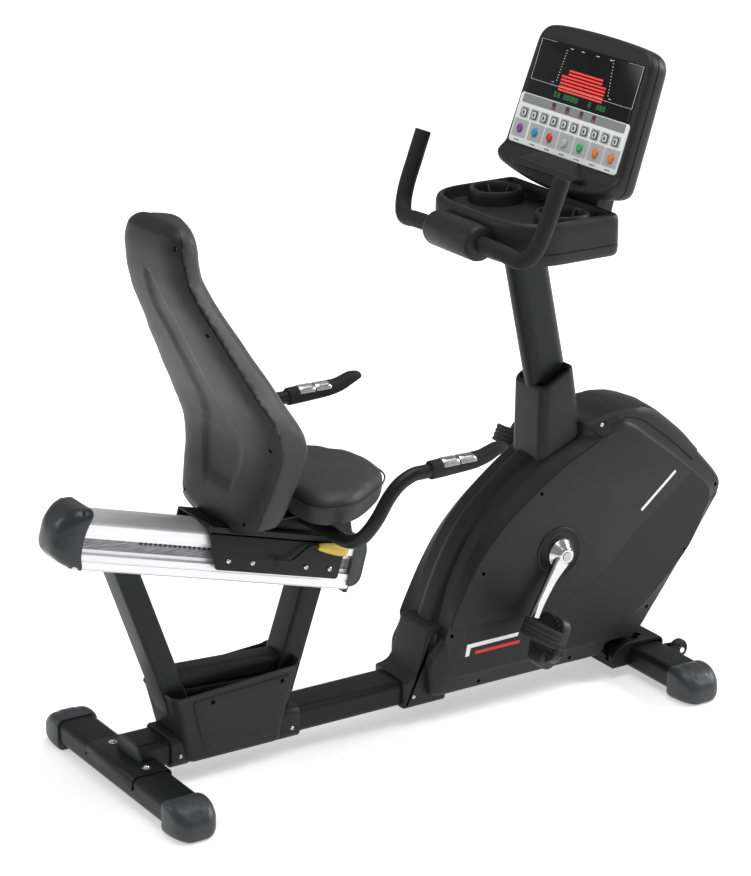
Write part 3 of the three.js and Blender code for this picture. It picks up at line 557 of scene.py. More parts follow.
def bucket_half(z):
    for (z0, _, _, h0), (z1, _, _, h1) in zip(BUCKET, BUCKET[1:]):
        if z <= z1:
            return h0 + (h1 - h0) * (z - z0) / (z1 - z0)
    return BUCKET[-1][3]


PANEL = densified(eased([(140, 62, 14), (306, 62, 14), (343, 188, 8), (112, 177, 8)], 0, 6), 9)
panels = []
for side in (-1, 1):
    centre = Vector((228, 126))
    levels = [(0, -1.5), (0.0, 0.6), (1.4, 2.2), (3.6, 2.8)]
    rings = [[(a, side * (bucket_half(b) + c), b) for a, b in inset(PANEL, i)]
             for i, c in levels]
    rings += [[(a, side * (bucket_half(b) + 2.8), b) for a, b in
               (tuple(centre + (Vector(p) - centre) * share) for p in inset(PANEL, 3.6))]
              for share in (0.8, 0.55, 0.3, 0.05)]
    panels.append(skin([[at(*p) for p in ring] for ring in rings]))


def screw_wells():
    return [turned([(0, -8), (4.8, -8), (4.8, 8), (0, 8)],
                   shifted(across, x, z, side * (bucket_half(z) + 2)), 20)
            for side in (-1, 1) for x, z in ((158, 168), (316, 178))]


boots = []
for x0, x1 in ((70, 112), (306, 366)):
    outer = rectangle(-52.5, 37, 52.5, 104.5, 17, 8)
    boots.append(skin([[along(a * grow, 70 + (b - 70) * grow, x) for a, b in outer]
                       for x, grow in ((x0, 0.955), (x0 + 0.6, 0.985), (x0 + 2.5, 1.0),
                                       (x1 - 2.5, 1.0), (x1 - 0.6, 0.985), (x1, 0.955))]))
piece("leg_bucket", "frame", housing_plastic,
      joined(carved(bucket, *screw_wells()), *boots), ["base_cover"], 40)
piece("bucket_panels", "frame", housing_plastic, carved(joined(*panels), *screw_wells()))
boot_screws = [bolt(4.2, shifted(lambda a, b, c, side=side: across(a, b, side * c), x, 62, 52.3))
               for side in (-1, 1) for x in (90, 346)]
piece("boot_screws", "frame", bolt_zinc, joined(*boot_screws))
dark_screw = material("blackened_screw_and_painted_shade", lambda spot: {
    "Base Color": mix(noise(spot, 0.002, 2.0), (0.006, 0.006, 0.0065), (0.015, 0.015, 0.016)),
    "Roughness": 0.3 + 0.2 * noise(spot, 0.003, 2.0)})
piece("bucket_screws", "frame", dark_screw, joined(*[
    bolt(3.6, shifted(lambda a, b, c, side=side: across(a, b, side * c), x, z,
                      bucket_half(z) - 5.5))
    for side in (-1, 1) for x, z in ((158, 168), (316, 178))]))


# Seat rail: a long extrusion of bright anodised aluminium with a roller track along each side
# and a punched rack for the seat's latch. Its ends are closed with swept moulded caps.

def on_rail(s, y, h):
    """s runs forward along the rail and h stands square to it."""
    return at(-100 + s * math.cos(PITCH) + h * math.sin(PITCH), y,
              546 - s * math.sin(PITCH) + h * math.cos(PITCH))


def rail_section(y, h, s):
    return on_rail(s, y, h)


def rail_side(s, h, y):
    return on_rail(s, y, h)


def anodised(spot):
    """Matt silver anodising drawn along the extrusion, with slow cloudy changes of tone."""
    along_rail = spot.node("VectorRotate", {"rotation_type": "Y_AXIS"},
                           {"Vector": spot, "Angle": -PITCH})
    lines = noise(along_rail, 0.0012, 3.0, (60, 1, 1))
    cloud = noise(along_rail, 0.02, 3.0, (6, 1, 1))
    return {
        "Base Color": mix(cloud, (0.80, 0.80, 0.81), (0.93, 0.93, 0.94)),
        "Roughness": 0.34 + 0.16 * lines,
        "Normal": bump(lines, 0.00004, 0.35),
    }


bright_alloy = material("anodised_aluminium", anodised, {"Metallic": 0.55})
half_section = [(0, -50), (48, -50, 3), (52, -46, 3), (52, -32), (50.8, -31), (50.8, -29.5),
                (52, -28.5), (52, -17, 1.2), (43.5, -16, 1.5), (43.5, -9), (42, -8), (42, 12),
                (43.5, 13), (43.5, 20, 1.5), (52, 21, 1.5), (52, 42, 5), (49, 46, 6),
                (34, 53.5, 20), (14, 58.4, 30), (0, 59.2)]
rail_outline = eased(half_section[1:-1] + [half_section[-1]]
                     + [(-p[0], *p[1:]) for p in half_section[-2:0:-1]]
                     + [half_section[0]], 0, 5)
piece("seat_rail_extrusion", "frame", bright_alloy,
      moulding(rail_outline, -20, 613, rail_section), ["seat_rail"], 24)


def track_grey(spot):
    """Painted shade: a darker grey brushed strip lining the deepest channel of each rail groove,
    streaked along its length.
    """
    streaks = noise(spot, 0.0025, 6.0, (14, 1, 1))
    return {"Base Color": mix(band(streaks, 0.35, 0.7), (0.17, 0.17, 0.175), (0.36, 0.36, 0.37)),
            "Roughness": 0.42 + 0.25 * streaks,
            "Normal": bump(streaks, 0.00008, 0.5)}


track_painted_shade = material("track_painted_shade", track_grey, {"Metallic": 0.7})
# Thin dark strips laid in the grooves: painted shade for the inside of each groove.
tracks = [moulding([(-16, -8), (606, -8), (606, 12), (-16, 12)], side * 42 - 0.5, side * 42 + 0.5,
                   rail_side) for side in (-1, 1)]
piece("roller_tracks", "frame", track_painted_shade, joined(*tracks))
# The punched rack is drawn as thin dark plates, not holes: painted shade where the holes would be
# dark inside.
rack_hole_shade = [moulding(rectangle(s, 7.5, s + 6.4, 13.2, 0.8, 2), side * 43.1 - 0.7,
                    side * 43.1 + 0.7, rail_side, (0.2, 0.2), 1)
           for side in (-1, 1) for s in range(118, 580, 11)]
piece("latch_rack", "frame", dark_screw, joined(*rack_hole_shade))

rail_cap_satin = material("rail_cap_satin", moulded((0.026, 0.028, 0.031), 0.3),
                          {"Specular IOR Level": 0.4})
REAR_CAP = [(-62.5, 10, -8, 10, 8), (-61, 24, -20, 22, 15), (-57, 36, -30, 35, 20),
            (-50, 43.5, -36, 47, 24), (-40, 50, -43, 58, 26), (-28, 54, -48, 65, 24),
            (-14, 56.6, -51.5, 68, 20), (-1, 57.4, -53, 69, 17)]


def cap_ring(s, half, low, high, radius, mouth):
    ring = []
    for a, b in even(rectangle(-half, low, half, high, radius, 8), 96):
        bow = 11 * max(0.0, 1 - ((b - 4) / 58) ** 2) - 3 * step(-b, 20, 50)
        ring.append(on_rail(s - bow * mouth, a, b))
    return ring


rings = [cap_ring(*station, step(station[0], -50, -6)) for station in spline(REAR_CAP, 5)]
rings += [cap_ring(-1.5, 55, -50.6, 66.5, 15, 1), cap_ring(-22, 54.6, -50.4, 66, 15, 0.4)]
piece("rail_cap_back", "frame", rail_cap_satin, skin(rings), ["rail_cap_rear"], 45)
FRONT_CAP = [(608, 55.6, -46, 61, 16), (620, 56, -46, 61, 17), (632, 54.5, -44, 59, 19),
             (642, 49, -40, 52, 21), (649, 38, -32, 40, 20), (653.5, 24, -20, 26, 14)]
rings = [cap_ring(608.4, 53.6, -44, 59, 15, 0)] + [
    cap_ring(*station, 0) for station in spline(FRONT_CAP, 4)]
end_stop = moulding(eased([(608, -56), (617, -56), (619, -40), (608, -40)], 2, 3), -50, 50,
                    rail_side, (2, 2), 3)
piece("rail_cap_nose", "frame", cap_plastic, joined(skin(rings), end_stop),
      ["rail_cap_front"], 45)
rail_bolts = [bolt(4.5, shifted(lambda a, b, c: on_rail(a, b, -c), s, y, 50))
              for s in (196, 486) for y in (-30, 30)]
piece("rail_bolts", "frame", bolt_zinc, joined(*rail_bolts))


# Drive housing: two moulded shells screwed together over the flywheel and belt. The curved
# steel arc between them is part of the frame and carries the mast.

ARCH = spline([(690, 176), (694, 186), (740, 299), (791, 386), (858, 453), (952, 521),
               (1044, 562)], 7)[7:]

# Points round a shell: [spine x, z, face x, z]; the spine is where the shells meet the arc
ARC_RIM = [(697, 187, 694, 187), (707, 208, 700, 208), (740, 299, 749, 303),
           (791, 386, 801, 375), (858, 453, 873, 440), (952, 521, 977, 508),
           (1040, 560, 1060, 547)]
CREST_RIM = [(1044, 589, 1085, 557), (1085, 593, 1110, 566), (1130, 602, 1130, 573),
             (1160, 605, 1143, 575), (1206, 598, 1166, 564), (1240, 580, 1202, 536),
             (1302, 528, 1260, 491), (1338, 489, 1300, 458), (1364, 460, 1324, 437),
             (1400, 419, 1354, 408), (1413, 396, 1370, 388), (1411, 378, 1370, 366)]
BELLY_RIM = [(1398, 362, 1362, 347), (1350, 298, 1320, 270), (1290, 213, 1258, 207),
             (1240, 143, 1206, 163), (1213, 105, 1164, 137), (1190, 84, 1116, 113),
             (1122, 84, 1082, 104), (1098, 59, 1050, 100), (980, 58, 960, 100),
             (840, 58, 840, 100), (740, 58, 742, 100), (690, 58, 716, 106),
             (668, 64, 702, 120), (664, 90, 699, 150), (664, 140, 698, 172)]
SPINE_Y, FACE_Y = 52.4, 88.0
rim_line = []
for kind, line in (("arc", ARC_RIM), ("crest", CREST_RIM), ("belly", BELLY_RIM)):
    rim_line += [(*place, kind == "crest", kind == "belly") for place in line]
rim_line = spline(rim_line + rim_line[:1], 5)[:-1]


def rim_point(stop, share, depth, side):
    sx, sz, fx, fz = stop[:4]
    return at(sx + (fx - sx) * share, side * (SPINE_Y + (FACE_Y - SPINE_Y) * depth),
              sz + (fz - sz) * share)


# how far in and how far out the rim is, on the arc, on the crest and along the belly
PROFILES = [((0, 0), (0, 0), (0, 0)), ((0.02, 0.22), (0.01, 0.30), (0.01, 0.35)),
            ((0.07, 0.30), (0.06, 0.46), (0.05, 0.55)), ((0.30, 0.50), (0.20, 0.62), (0.16, 0.70)),
            ((0.62, 0.74), (0.50, 0.74), (0.42, 0.80)), ((0.90, 0.94), (0.86, 0.86), (0.74, 0.88)),
            ((0.97, 0.985), (0.95, 0.93), (0.90, 0.94)), ((1.0, 1.0), (1.0, 1.0), (1.0, 1.0))]


def shell_rings(side):
    rings = []
    for arc, crest, belly in PROFILES:
        ring = []
        for stop in rim_line:
            wc = step(stop[4], 0, 1)
            wb = step(stop[5], 0, 1)
            wa = 1 - wc - wb
            share = wa * arc[0] + wc * crest[0] + wb * belly[0]
            depth = wa * arc[1] + wc * crest[1] + wb * belly[1]
            ring.append(rim_point(stop, share, depth, side))
        rings.append(ring)
    return rings


FACE = [(stop[2], stop[3]) for stop in rim_line]
HOLES = [(928, 463), (785, 316), (709, 194), (1272, 520), (1394, 392), (1309, 262), (1215, 148),
         (1014, 74), (782, 74)]


def flipped(side):
    """Places a side outline on the rider's right or left, with the third axis outwards."""
    return lambda a, b, c: across(a, b, side * c)


S_CREASE = [(1318, 437), (1262, 394), (1166, 325), (1108, 270), (1049, 232), (992, 211),
            (940, 205), (880, 204)]
crest_stop = next(i for i, p in enumerate(FACE) if p[0] > 1312)
upper_panel = ([(708, 207)] + [p for p in FACE[:crest_stop] if p[1] >= 212]
               + spline(S_CREASE, 4))


def spaced(outline, least):
    """The outline without points closer than least to the one before."""
    line = [outline[0]]
    for point in outline[1:]:
        if math.dist(point, line[-1]) >= least:
            line.append(point)
    if math.dist(line[0], line[-1]) < least:
        line.pop()
    return line


upper_panel = spaced(upper_panel, 3)
for hand, side in (("left", 1), ("right", -1)):
    place = flipped(side)
    body = skin([[at(s[0], side * 0.3, s[1]) for s in rim_line]] + shell_rings(side))
    cuts = [turned([(0, 58), (4.4, 58), (4.4, 100), (0, 100)], shifted(place, x, z), 20)
            for x, z in HOLES]
    piece(f"shell_{hand}", "frame", housing_plastic, carved(body, *cuts),
          [f"housing_{hand}"], 24)
    panel = moulding(inset(upper_panel, 0.8), 84, 90.0, place, (0, 2.0), 3)
    recess = turned([(0, 87.2), (57, 87.2), (57, 95), (0, 95)], shifted(place, 975, 324), 64)
    cuts = [turned([(0, 58), (4.4, 58), (4.4, 100), (0, 100)], shifted(place, x, z), 20)
            for x, z in HOLES[:2]]
    piece(f"shell_panel_{hand}", "frame", housing_plastic, carved(panel, recess, *cuts),
          crisp=24)
    sunk = [(3.3, x, z, 79 if i in (0, 1) else 66) for i, (x, z) in enumerate(HOLES)]
    piece(f"shell_screws_{hand}", "frame", dark_screw, joined(*[
        bolt(r, shifted(place, x, z, depth)) for r, x, z, depth in sunk]))
    ring = [(56.5, 86), (56.5, 90.4), (55.6, 92.2), (53.6, 93.2), (51, 92.9), (48.6, 91.2),
            (47, 90.2), (38, 90.6), (34, 91.4), (31, 94), (28, 97), (0, 97)]
    piece(f"crank_bezel_{hand}", "frame", housing_plastic,
          turned([(0, 86)] + ring, shifted(place, 975, 324), 72), crisp=40)

# Steel arc: bent oval tube
rings = []
arc = [Vector(p) for p in ARCH]
for i, point in enumerate(arc):
    ahead = (arc[min(i + 1, len(arc) - 1)] - arc[max(i - 1, 0)]).normalized()
    inward = Vector((ahead.y, -ahead.x))
    section = rectangle(0, -51.6, 84, 51.6, 40, 10)
    rings.append([at(point.x + inward.x * (a - 6), b, point.y + inward.y * (a - 6))
                  for a, b in section])
piece("frame_arc_tube", "frame", frame_paint, skin(rings), ["frame_arc"])

# Crest cover: a saddle-shaped moulding snapped over both shells, with a shallow step in it
cover_stops = [s for s in rim_line if s[4] > 0.98 and s[0] < 1350 and s[1] > 470]
rings = []
for stop in cover_stops:
    grow = 1.6 - 1.2 * step(stop[0], 1128, 1142)
    nx, nz = stop[0] - stop[2], stop[1] - stop[3]
    size = math.hypot(nx, nz)
    nx, nz = nx / size, nz / size
    ring = []
    reach = 0.56 + 0.40 * step(-stop[0], -1100, -1078)
    path = [(reach, 0.765 + 0.14 * step(-stop[0], -1100, -1078)), (0.42, 0.71), (0.2, 0.62),
            (0.06, 0.46), (0.01, 0.30), (-0.03, 0)]
    outside = [(share, depth, -1) for share, depth in path]
    outside += [(-0.10, 0, 0)] + [(share, depth, 1) for share, depth in path[::-1]]
    for thick in (1, 0):
        run = outside if thick else outside[::-1]
        for share, depth, side in run:
            out = grow + 1.4 if thick else -3
            y = side * (SPINE_Y + (FACE_Y - SPINE_Y) * depth + (out if depth > 0.2 else 0))
            lift = out * (1 - 0.75 * step(share, 0, 0.5))
            ring.append(at(stop[0] + (stop[2] - stop[0]) * share + nx * lift, y,
                           stop[1] + (stop[3] - stop[1]) * share + nz * lift))
    rings.append(ring)
piece("crest_cover", "frame", housing_plastic, skin(rings), ["top_cover"], 26)
cover_screws = [bolt(4.6, shifted(flipped(side), 1080, 585, 85.2)) for side in (-1, 1)]

# Collar: boot over the joint of beam and arc
foot = spaced(spline([(612, 41), (612, 60), (612, 100), (613, 103.5), (617, 105), (630, 107),
                      (644, 114), (654, 132), (662, 160), (671, 188), (675, 199), (680, 204),
                      (692, 206), (712, 206)], 3), 1.5)
foot += [(716, 200), (716, 44), (712, 40), (616, 40)]
levels = [(57, 8), (56.8, 5), (55.6, 2.2), (53.6, 0.6), (50, 0)]
rings = [[at(a, y, b) for a, b in inset(foot, i)] if i else [at(a, y, b) for a, b in foot]
         for y, i in levels + [(-y, i) for y, i in levels[::-1]]]
piece("arc_boot", "frame", housing_plastic, skin(rings), ["beam_collar"])
ridge = eased([(672, 112, 12), (694, 104, 8), (700, 190, 6), (686, 198, 6)], 0, 5)
piece("boot_ribs", "frame", housing_plastic, joined(*[
    moulding(ridge, 50, 61, flipped(side), (0, 6), 5) for side in (-1, 1)]))
cover_screws += [bolt(4.4, shifted(flipped(side), 636, 64, 56.6)) for side in (-1, 1)]
piece("housing_bolts", "frame", bolt_zinc, joined(*cover_screws))

# Sleeve: tapered shroud at the foot of the mast, cut on a slope at the top
def shroud_ring(share, shrink, drop=0.0):
    ring = []
    for a, b in rectangle(947 + 3 * share + shrink, -57 + shrink, 1056 - 24 * share - shrink,
                          57 - shrink, 21 - shrink, 8):
        bottom = 519 + 0.47 * (a - 950)
        top = 673 + 0.50 * (a - 948) - drop
        ring.append(at(a, b, bottom + (top - bottom) * share))
    return ring


rings = [shroud_ring(share, 0) for share in (0, 0.25, 0.5, 0.75, 0.96)]
rings += [shroud_ring(share, shrink) for share, shrink in ((0.975, 0.5), (0.99, 2), (1, 4.5))]
rings += [shroud_ring(1, 6.5), shroud_ring(1, 8, 1.5), shroud_ring(1, 8.6, 12)]
piece("mast_shroud", "frame", housing_plastic, skin(rings), ["mast_sleeve"])

LEAN = math.atan(0.21)


def on_mast(a, b, c):
    return at(994.5 + a * math.cos(LEAN) - c * math.sin(LEAN), b,
              680 + a * math.sin(LEAN) + c * math.cos(LEAN))


piece("mast_tube", "frame", frame_paint,
      moulding(rectangle(-46, -27, 46, 27, 26.5, 12), -90, 326, on_mast), ["mast"])

# A plain badge: a red flash under a white bar on each lower panel
badge_white = material("badge_white", lambda spot: {
    "Base Color": mix(noise(spot, 0.01, 2.0), (0.78, 0.78, 0.78), (0.86, 0.86, 0.86)),
    "Roughness": 0.4 + 0.1 * noise(spot, 0.02, 2.0)})
badge_red = material("badge_red", lambda spot: {
    "Base Color": mix(noise(spot, 0.01, 2.0), (0.60, 0.008, 0.006), (0.72, 0.014, 0.010)),
    "Roughness": 0.4 + 0.1 * noise(spot, 0.02, 2.0)})
WHITE_BAR = eased([(742, 140), (752, 140), (756, 157), (874, 158), (877, 166), (747, 166)], 1.2, 3)
RED_BAR = eased([(766, 141), (878, 141), (880, 148), (767, 148)], 1.0, 3)
STRIPE = eased([(1189, 374), (1277, 446), (1273, 451), (1185, 379)], 1.0, 3)
piece("badge_bars", "frame", badge_white, joined(*[
    moulding(outline, 87.6, top, flipped(side), (0, 0.2), 1) for side in (-1, 1)
    for outline, top in ((WHITE_BAR, 88.3), (STRIPE, 90.3))]))
piece("badge_flashes", "frame", badge_red, joined(*[
    moulding(RED_BAR, 87.6, 88.4, flipped(side), (0, 0.2), 1) for side in (-1, 1)]))


# Inner drive: a steel spindle turns the big pulley, whose ribbed belt spins a cast flywheel
# four times as fast. The belt is a closed loop that stays in place.

def machined(spot):
    """Turned and ground steel."""
    rings_of_tool = noise(spot, 0.0016, 4.0)
    return {"Base Color": mix(rings_of_tool, (0.34, 0.34, 0.35), (0.52, 0.52, 0.53)),
            "Roughness": 0.28 + 0.2 * rings_of_tool}


drive_steel = material("drive_steel", machined, {"Metallic": 1.0})
for node in ("crank_spindle", "drive_pulley", "flywheel_axle", "flywheel"):
    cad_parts[node].data.materials.clear()
    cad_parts[node].data.materials.append(drive_steel)
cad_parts["drive_belt"].data.materials.clear()
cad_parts["drive_belt"].data.materials.append(black_rubber)


# Cranks: forged steel arms, polished and chromed, pressed on the spindle half a turn apart.
# The arm bows out from a coned boss to the eye of the pedal.

def chrome_plate(spot):
    """Mirror chrome with hairline swirls and a trace of haze."""
    swirl = noise(spot, 0.0012, 6.0, (1, 1, 5))
    haze = noise(spot, 0.03, 4.0)
    return {"Base Color": mix(haze, (0.50, 0.50, 0.51), (0.66, 0.66, 0.67)),
            "Roughness": 0.10 + 0.06 * haze + 0.03 * swirl,
            "Normal": bump(swirl, 0.00002, 0.2)}


chrome = material("chrome_plate", chrome_plate, {"Metallic": 1.0})
CRANK, THROW = math.radians(32.7), 166


def crank_frame(side):
    """r runs down the arm from the spindle, w across it and c outwards."""
    turn = 1 if side < 0 else -1
    down = Vector((-math.sin(CRANK), -math.cos(CRANK))) * turn
    wide = Vector((down.y, -down.x))
    return lambda r, w, c: across(975 + down.x * r + wide.x * w, 324 + down.y * r + wide.y * w,
                                  side * c)


for hand, side in (("left", 1), ("right", -1)):
    arm = crank_frame(side)
    rings = []
    for r, half, mid, thick, skew in spline(
            [(-6, 15, 109, 8, 0), (14, 18.5, 109, 8.5, 1), (34, 15.5, 110, 7.5, 2.5),
             (60, 12.6, 112, 6.5, 5), (90, 11.6, 114.5, 6.2, 6), (120, 11.4, 115.5, 6.2, 5),
             (146, 12.2, 115.5, 6.6, 2), (166, 13.4, 115, 7, 0), (177, 8, 115, 6, 0)], 4):
        ring = [(a + skew, b + mid) for a, b in
                rectangle(-half, -thick, half, thick, min(half, thick) * 0.82, 5)]
        rings.append([arm(r, w, c) for w, c in ring])
    cone = turned([(0, 97), (29, 97), (31.5, 98.2), (32, 100), (30.5, 102), (22, 111), (19, 114.5),
                   (16.5, 117.5), (14, 118.3), (10.4, 118.3), (9.6, 117), (9.4, 112), (0, 112)],
                  arm, 64)
    piece(f"crank_{hand}", "crank", chrome, joined(cone, skin(rings)),
          [f"crank_arm_{hand}"], 40)
    nut = eased([(7 * math.cos(math.pi / 3 * k), 7 * math.sin(math.pi / 3 * k))
                 for k in range(6)], 0.6, 2)
    piece(f"crank_bolt_{hand}", "crank", drive_steel, joined(
        moulding(nut, 110, 117.6, arm, (0, 0.8), 2),
        turned([(0, 117), (3.1, 117), (3.1, 118.6), (0, 118.8)], arm, 16)))
    piece(f"pedal_pin_{hand}", "crank", drive_steel, turned(
        [(0, 118), (8.5, 118), (9, 119), (9, 124), (8, 126), (6.5, 127), (6.2, 232), (0, 232)],
        shifted(arm, 166, 0, 0), 24))


# Pedals: moulded in rubber-skinned nylon, weighted so that the foot side turns up. A ribbed
# strap loops over the foot and buckles at one side.

TILT = math.radians(24)
PIVOTS = {1: (975 + THROW * math.sin(CRANK), 324 + THROW * math.cos(CRANK)),
          -1: (975 - THROW * math.sin(CRANK), 324 - THROW * math.cos(CRANK))}
pedal_rubber = material("pedal_nylon", moulded((0.017, 0.017, 0.018), 0.5, 0.001, 0.00008))


def pedal_frame(side):
    """f is towards the foot, v across the bike outwards from the pedal's middle, u up."""
    x, z = PIVOTS[side]
    return lambda f, v, u: at(x - f * math.cos(TILT) + u * math.sin(TILT), side * 185 + side * v,
                              z + f * math.sin(TILT) + u * math.cos(TILT))


def pad_plane(side):
    place = pedal_frame(side)
    return lambda v, u, f: place(f, v, u)


for hand, side in (("left", 1), ("right", -1)):
    pad, own = pad_plane(side), pedal_frame(side)
    OUTLINE = eased([(-45, 20, 16), (-40, 50, 22), (40, 50, 22), (45, 20, 16), (45, -34, 12),
                     (24, -48, 10), (-24, -48, 10), (-45, -34, 12)], 0, 6)
    body = moulding(OUTLINE, -11, 9.5, pad, (3, 2.5), 3)
    weight = turned([(0, -24), (19, -24), (21.5, -22), (22, 0), (21.5, 22), (19, 24), (0, 24)],
                    lambda a, b, c: own(a + 1, c, b - 40), 28)
    ribs = []
    for k in range(10):
        t = math.pi * (k + 0.5) / 10
        inner, outer = Vector((math.cos(t), math.sin(t))) * 15, Vector((math.cos(t), math.sin(t)))
        outer = outer * 40
        wide = Vector((-math.sin(t), math.cos(t)))
        quad = [inner - wide * 3.0, outer - wide * 5.0, outer + wide * 5.0, inner + wide * 3.0]
        ribs.append(moulding(eased([tuple(p) for p in quad], 1.4, 3), 8.5, 13,
                             shifted(pad, 0, 8), (0, 1.4), 2))
    ribs += [moulding(rectangle(-37, u - 3.6, 37, u + 3.6, 1.5, 3), 8.5, 12.5, pad, (0, 1.2), 2)
             for u in (-7, -18, -29)]
    ribs.append(turned([(0, 8.5), (9, 8.5), (9, 12.4), (7.5, 13.4), (0, 13.4)],
                       shifted(pad, 0, 8), 24))
    piece(f"pedal_body_{hand}", f"{hand}_pedal", pedal_rubber, joined(body, weight, *ribs),
          [f"pedal_{hand}"], 36)
    rings = []
    for k in range(45):
        t = math.pi * k / 44
        lean = 6 * math.sin(t)
        ring = []
        profile = [(-19, 0)]
        for rib in range(4):
            u0 = -18.5 + rib * 9.4
            profile += [(u0, 3.0), (u0 + 1.2, 4.6), (u0 + 6.6, 4.6), (u0 + 7.8, 3.0)]
        profile += [(19, 3), (19, 0)]
        for u, out in profile:
            reach = 47.6 + out
            ring.append(own(13.5 + reach * math.sin(t), reach * math.cos(t), u + 6 + lean))
        rings.append(ring)
    strap = skin(rings)
    lugs = [moulding(rectangle(-4, -14, 16, 26, 3, 4), 45.5, 52, lambda a, b, c, s=s:
                     own(a, s * c, b), (1, 1.2), 2) for s in (-1, 1)]
    buckle = moulding(rectangle(-12, -16, 14, 2, 3, 4), 48, 57, lambda a, b, c:
                      own(a + 4, c, b - 8), (1, 2), 3)
    teeth = [moulding(rectangle(-8 + 7 * k, -13, -5 + 7 * k, -1, 0.6, 2), 55, 58.2,
                      lambda a, b, c: own(a + 4, c, b - 8), (0, 0.8), 2) for k in range(3)]
    piece(f"foot_strap_{hand}", f"{hand}_pedal", black_rubber, joined(strap, *lugs, buckle, *teeth),
          [f"pedal_strap_{hand}"], 30)


# Console tray: a deep two-part moulding with a basin, two cup holders with rubber fins, and a
# roll across its rear that clamps the handlebar.

def curve(p0, p1, p2, p3, steps):
    """A cubic Bezier curve, without its last point."""
    line = []
    for k in range(steps):
        t = k / steps
        line.append(tuple((1 - t) ** 3 * a + 3 * t * (1 - t) ** 2 * b
                          + 3 * t * t * (1 - t) * c + t ** 3 * d
                          for a, b, c, d in zip(p0, p1, p2, p3)))
    return line


def tray_outline(grow):
    edge, front, turn = 190 - grow, 1041 - grow, max(18 - grow, 7)
    half = [(front, 0), (front, edge - turn)]
    half += curve((front, edge - turn), (front, edge - turn / 2), (front - turn / 2, edge),
                  (front - turn, edge), 6)[1:]
    half += [(front - turn, edge)]
    half += curve((900, edge), (830, edge), (802 + grow, 140 - grow), (796 + grow, 84 - grow), 16)
    half += [(796 + grow, 84 - grow), (796 + grow, 30)]
    return even(half + [(a, -b) for a, b in half[:0:-1]], 180)


rings = [[at(a, b, z) for a, b in tray_outline(grow)] for z, grow in (
    (978, 14), (979, 9), (982, 4.5), (987, 1.6), (994, 0.4), (1002.6, 0), (1003.2, 0.6),
    (1003.4, 2.2), (1005.6, 2.2), (1005.8, 0.8), (1006.6, 0.2), (1040, 0.2), (1054, 0.6),
    (1060, 2.4), (1063.6, 5.2), (1065.6, 9), (1066, 12), (1065, 15), (1061, 17), (1048, 19),
    (1042.5, 22), (1040.5, 28), (1040, 36))]
cup_holes = [turned([(0, 1001), (46.5, 1001), (46.5, 1090), (0, 1090)],
                    shifted(upward, 945, y), 48) for y in (-117, 117)]
roll = turned([(0, -84), (25, -84), (31, -82.4), (35, -78.6), (37, -72), (37, 72), (35, 78.6),
               (31, 82.4), (25, 84), (0, 84)], lambda a, b, c: at(775 + a, c, 1016 + b), 48)
piece("tray_body", "frame", housing_plastic, joined(carved(skin(rings), *cup_holes), roll),
      ["console_tray"], 30)
CUP = [(0, 1003), (42.6, 1003), (43.6, 1008), (44, 1058), (45.2, 1065), (47.4, 1068), (50.4, 1069),
       (53.4, 1067.6), (55.4, 1063.6), (56.4, 1056), (57, 1040.4), (46.2, 1040.4), (46.2, 1000.6),
       (0, 1000.6)]
for hand, y in (("left", 117), ("right", -117)):
    piece(f"cup_ring_{hand}", "frame", housing_plastic, turned(CUP, shifted(upward, 945, y), 64))
    fins = []
    for k in range(6):
        turn = Matrix.Rotation(math.pi / 3 * k + 0.3, 2)
        fins.append(moulding([(28, 1012), (44.2, 1008), (44.2, 1063), (40, 1062), (30, 1046)],
                             -2.2, 2.2, lambda a, b, c, turn=turn, y=y:
                             at(945 + (turn @ Vector((a, c))).x, y + (turn @ Vector((a, c))).y, b),
                             (0.8, 0.8), 2))
    piece(f"cup_fins_{hand}", "frame", black_rubber, joined(*fins))


# Handlebar: one bent steel tube in a dipped foam sleeve, clamped in the roll, with plugged ends.

def foam_skin(spot):
    """Black closed-cell foam with fine pores and a slight shine where hands rub it."""
    pores = noise(spot, 0.0007, 3.0)
    worn = band(noise(spot, 0.05, 3.0), 0.5, 0.75)
    return {"Base Color": mix(pores, (0.0075, 0.0077, 0.008), (0.0165, 0.0168, 0.0172)),
            "Roughness": 0.66 - 0.12 * worn + 0.1 * pores,
            "Normal": bump(pores, 0.00014, 0.7)}


grip_foam = material("grip_foam", foam_skin, {"Specular IOR Level": 0.25})


def swept(path, radius, ends=((0, 1.0),), sides=24):
    """A round bar along path; ends are (distance beyond the path's end, share of radius)."""
    path = [Vector(p) for p in path]
    heads = [(path[min(i + 1, len(path) - 1)] - path[max(i - 1, 0)]).normalized()
             for i in range(len(path))]
    across_bar = heads[0].cross(Vector((0.31, 0.17, 0.93))).normalized()
    stops = []
    for i, (point, head) in enumerate(zip(path, heads)):
        across_bar = (across_bar - head * across_bar.dot(head)).normalized()
        size = radius(i) if callable(radius) else radius
        if i == 0:
            stops += [(point - head * d, head, across_bar, size * s) for d, s in ends[::-1]]
        stops.append((point, head, across_bar, size))
        if i == len(path) - 1:
            stops += [(point + head * d, head, across_bar, size * s) for d, s in ends]
    turns = [2 * math.pi * k / sides for k in range(sides)]
    return skin([[at(*(point + wide * (size * math.cos(t))
                       + head.cross(wide) * (size * math.sin(t)))) for t in turns]
                 for point, head, wide, size in stops])


HALF_BAR = [(850, 246, 1172), (828, 245, 1115), (808, 243, 1064), (793, 232, 1027),
            (781, 206, 1010), (776, 160, 1014), (775, 118, 1016), (775, 84, 1016), (775, 40, 1016)]
path = spline(HALF_BAR + [(x, -y, z) for x, y, z in HALF_BAR[::-1]], 6)
END = ((0.8, 0.985), (1.6, 0.93), (2.0, 0.85), (1.6, 0.80), (-1.5, 0.78), (-1.8, 0.2))
piece("handlebar_foam", "frame", grip_foam, swept(path, 17, END), ["handlebar"], 30)

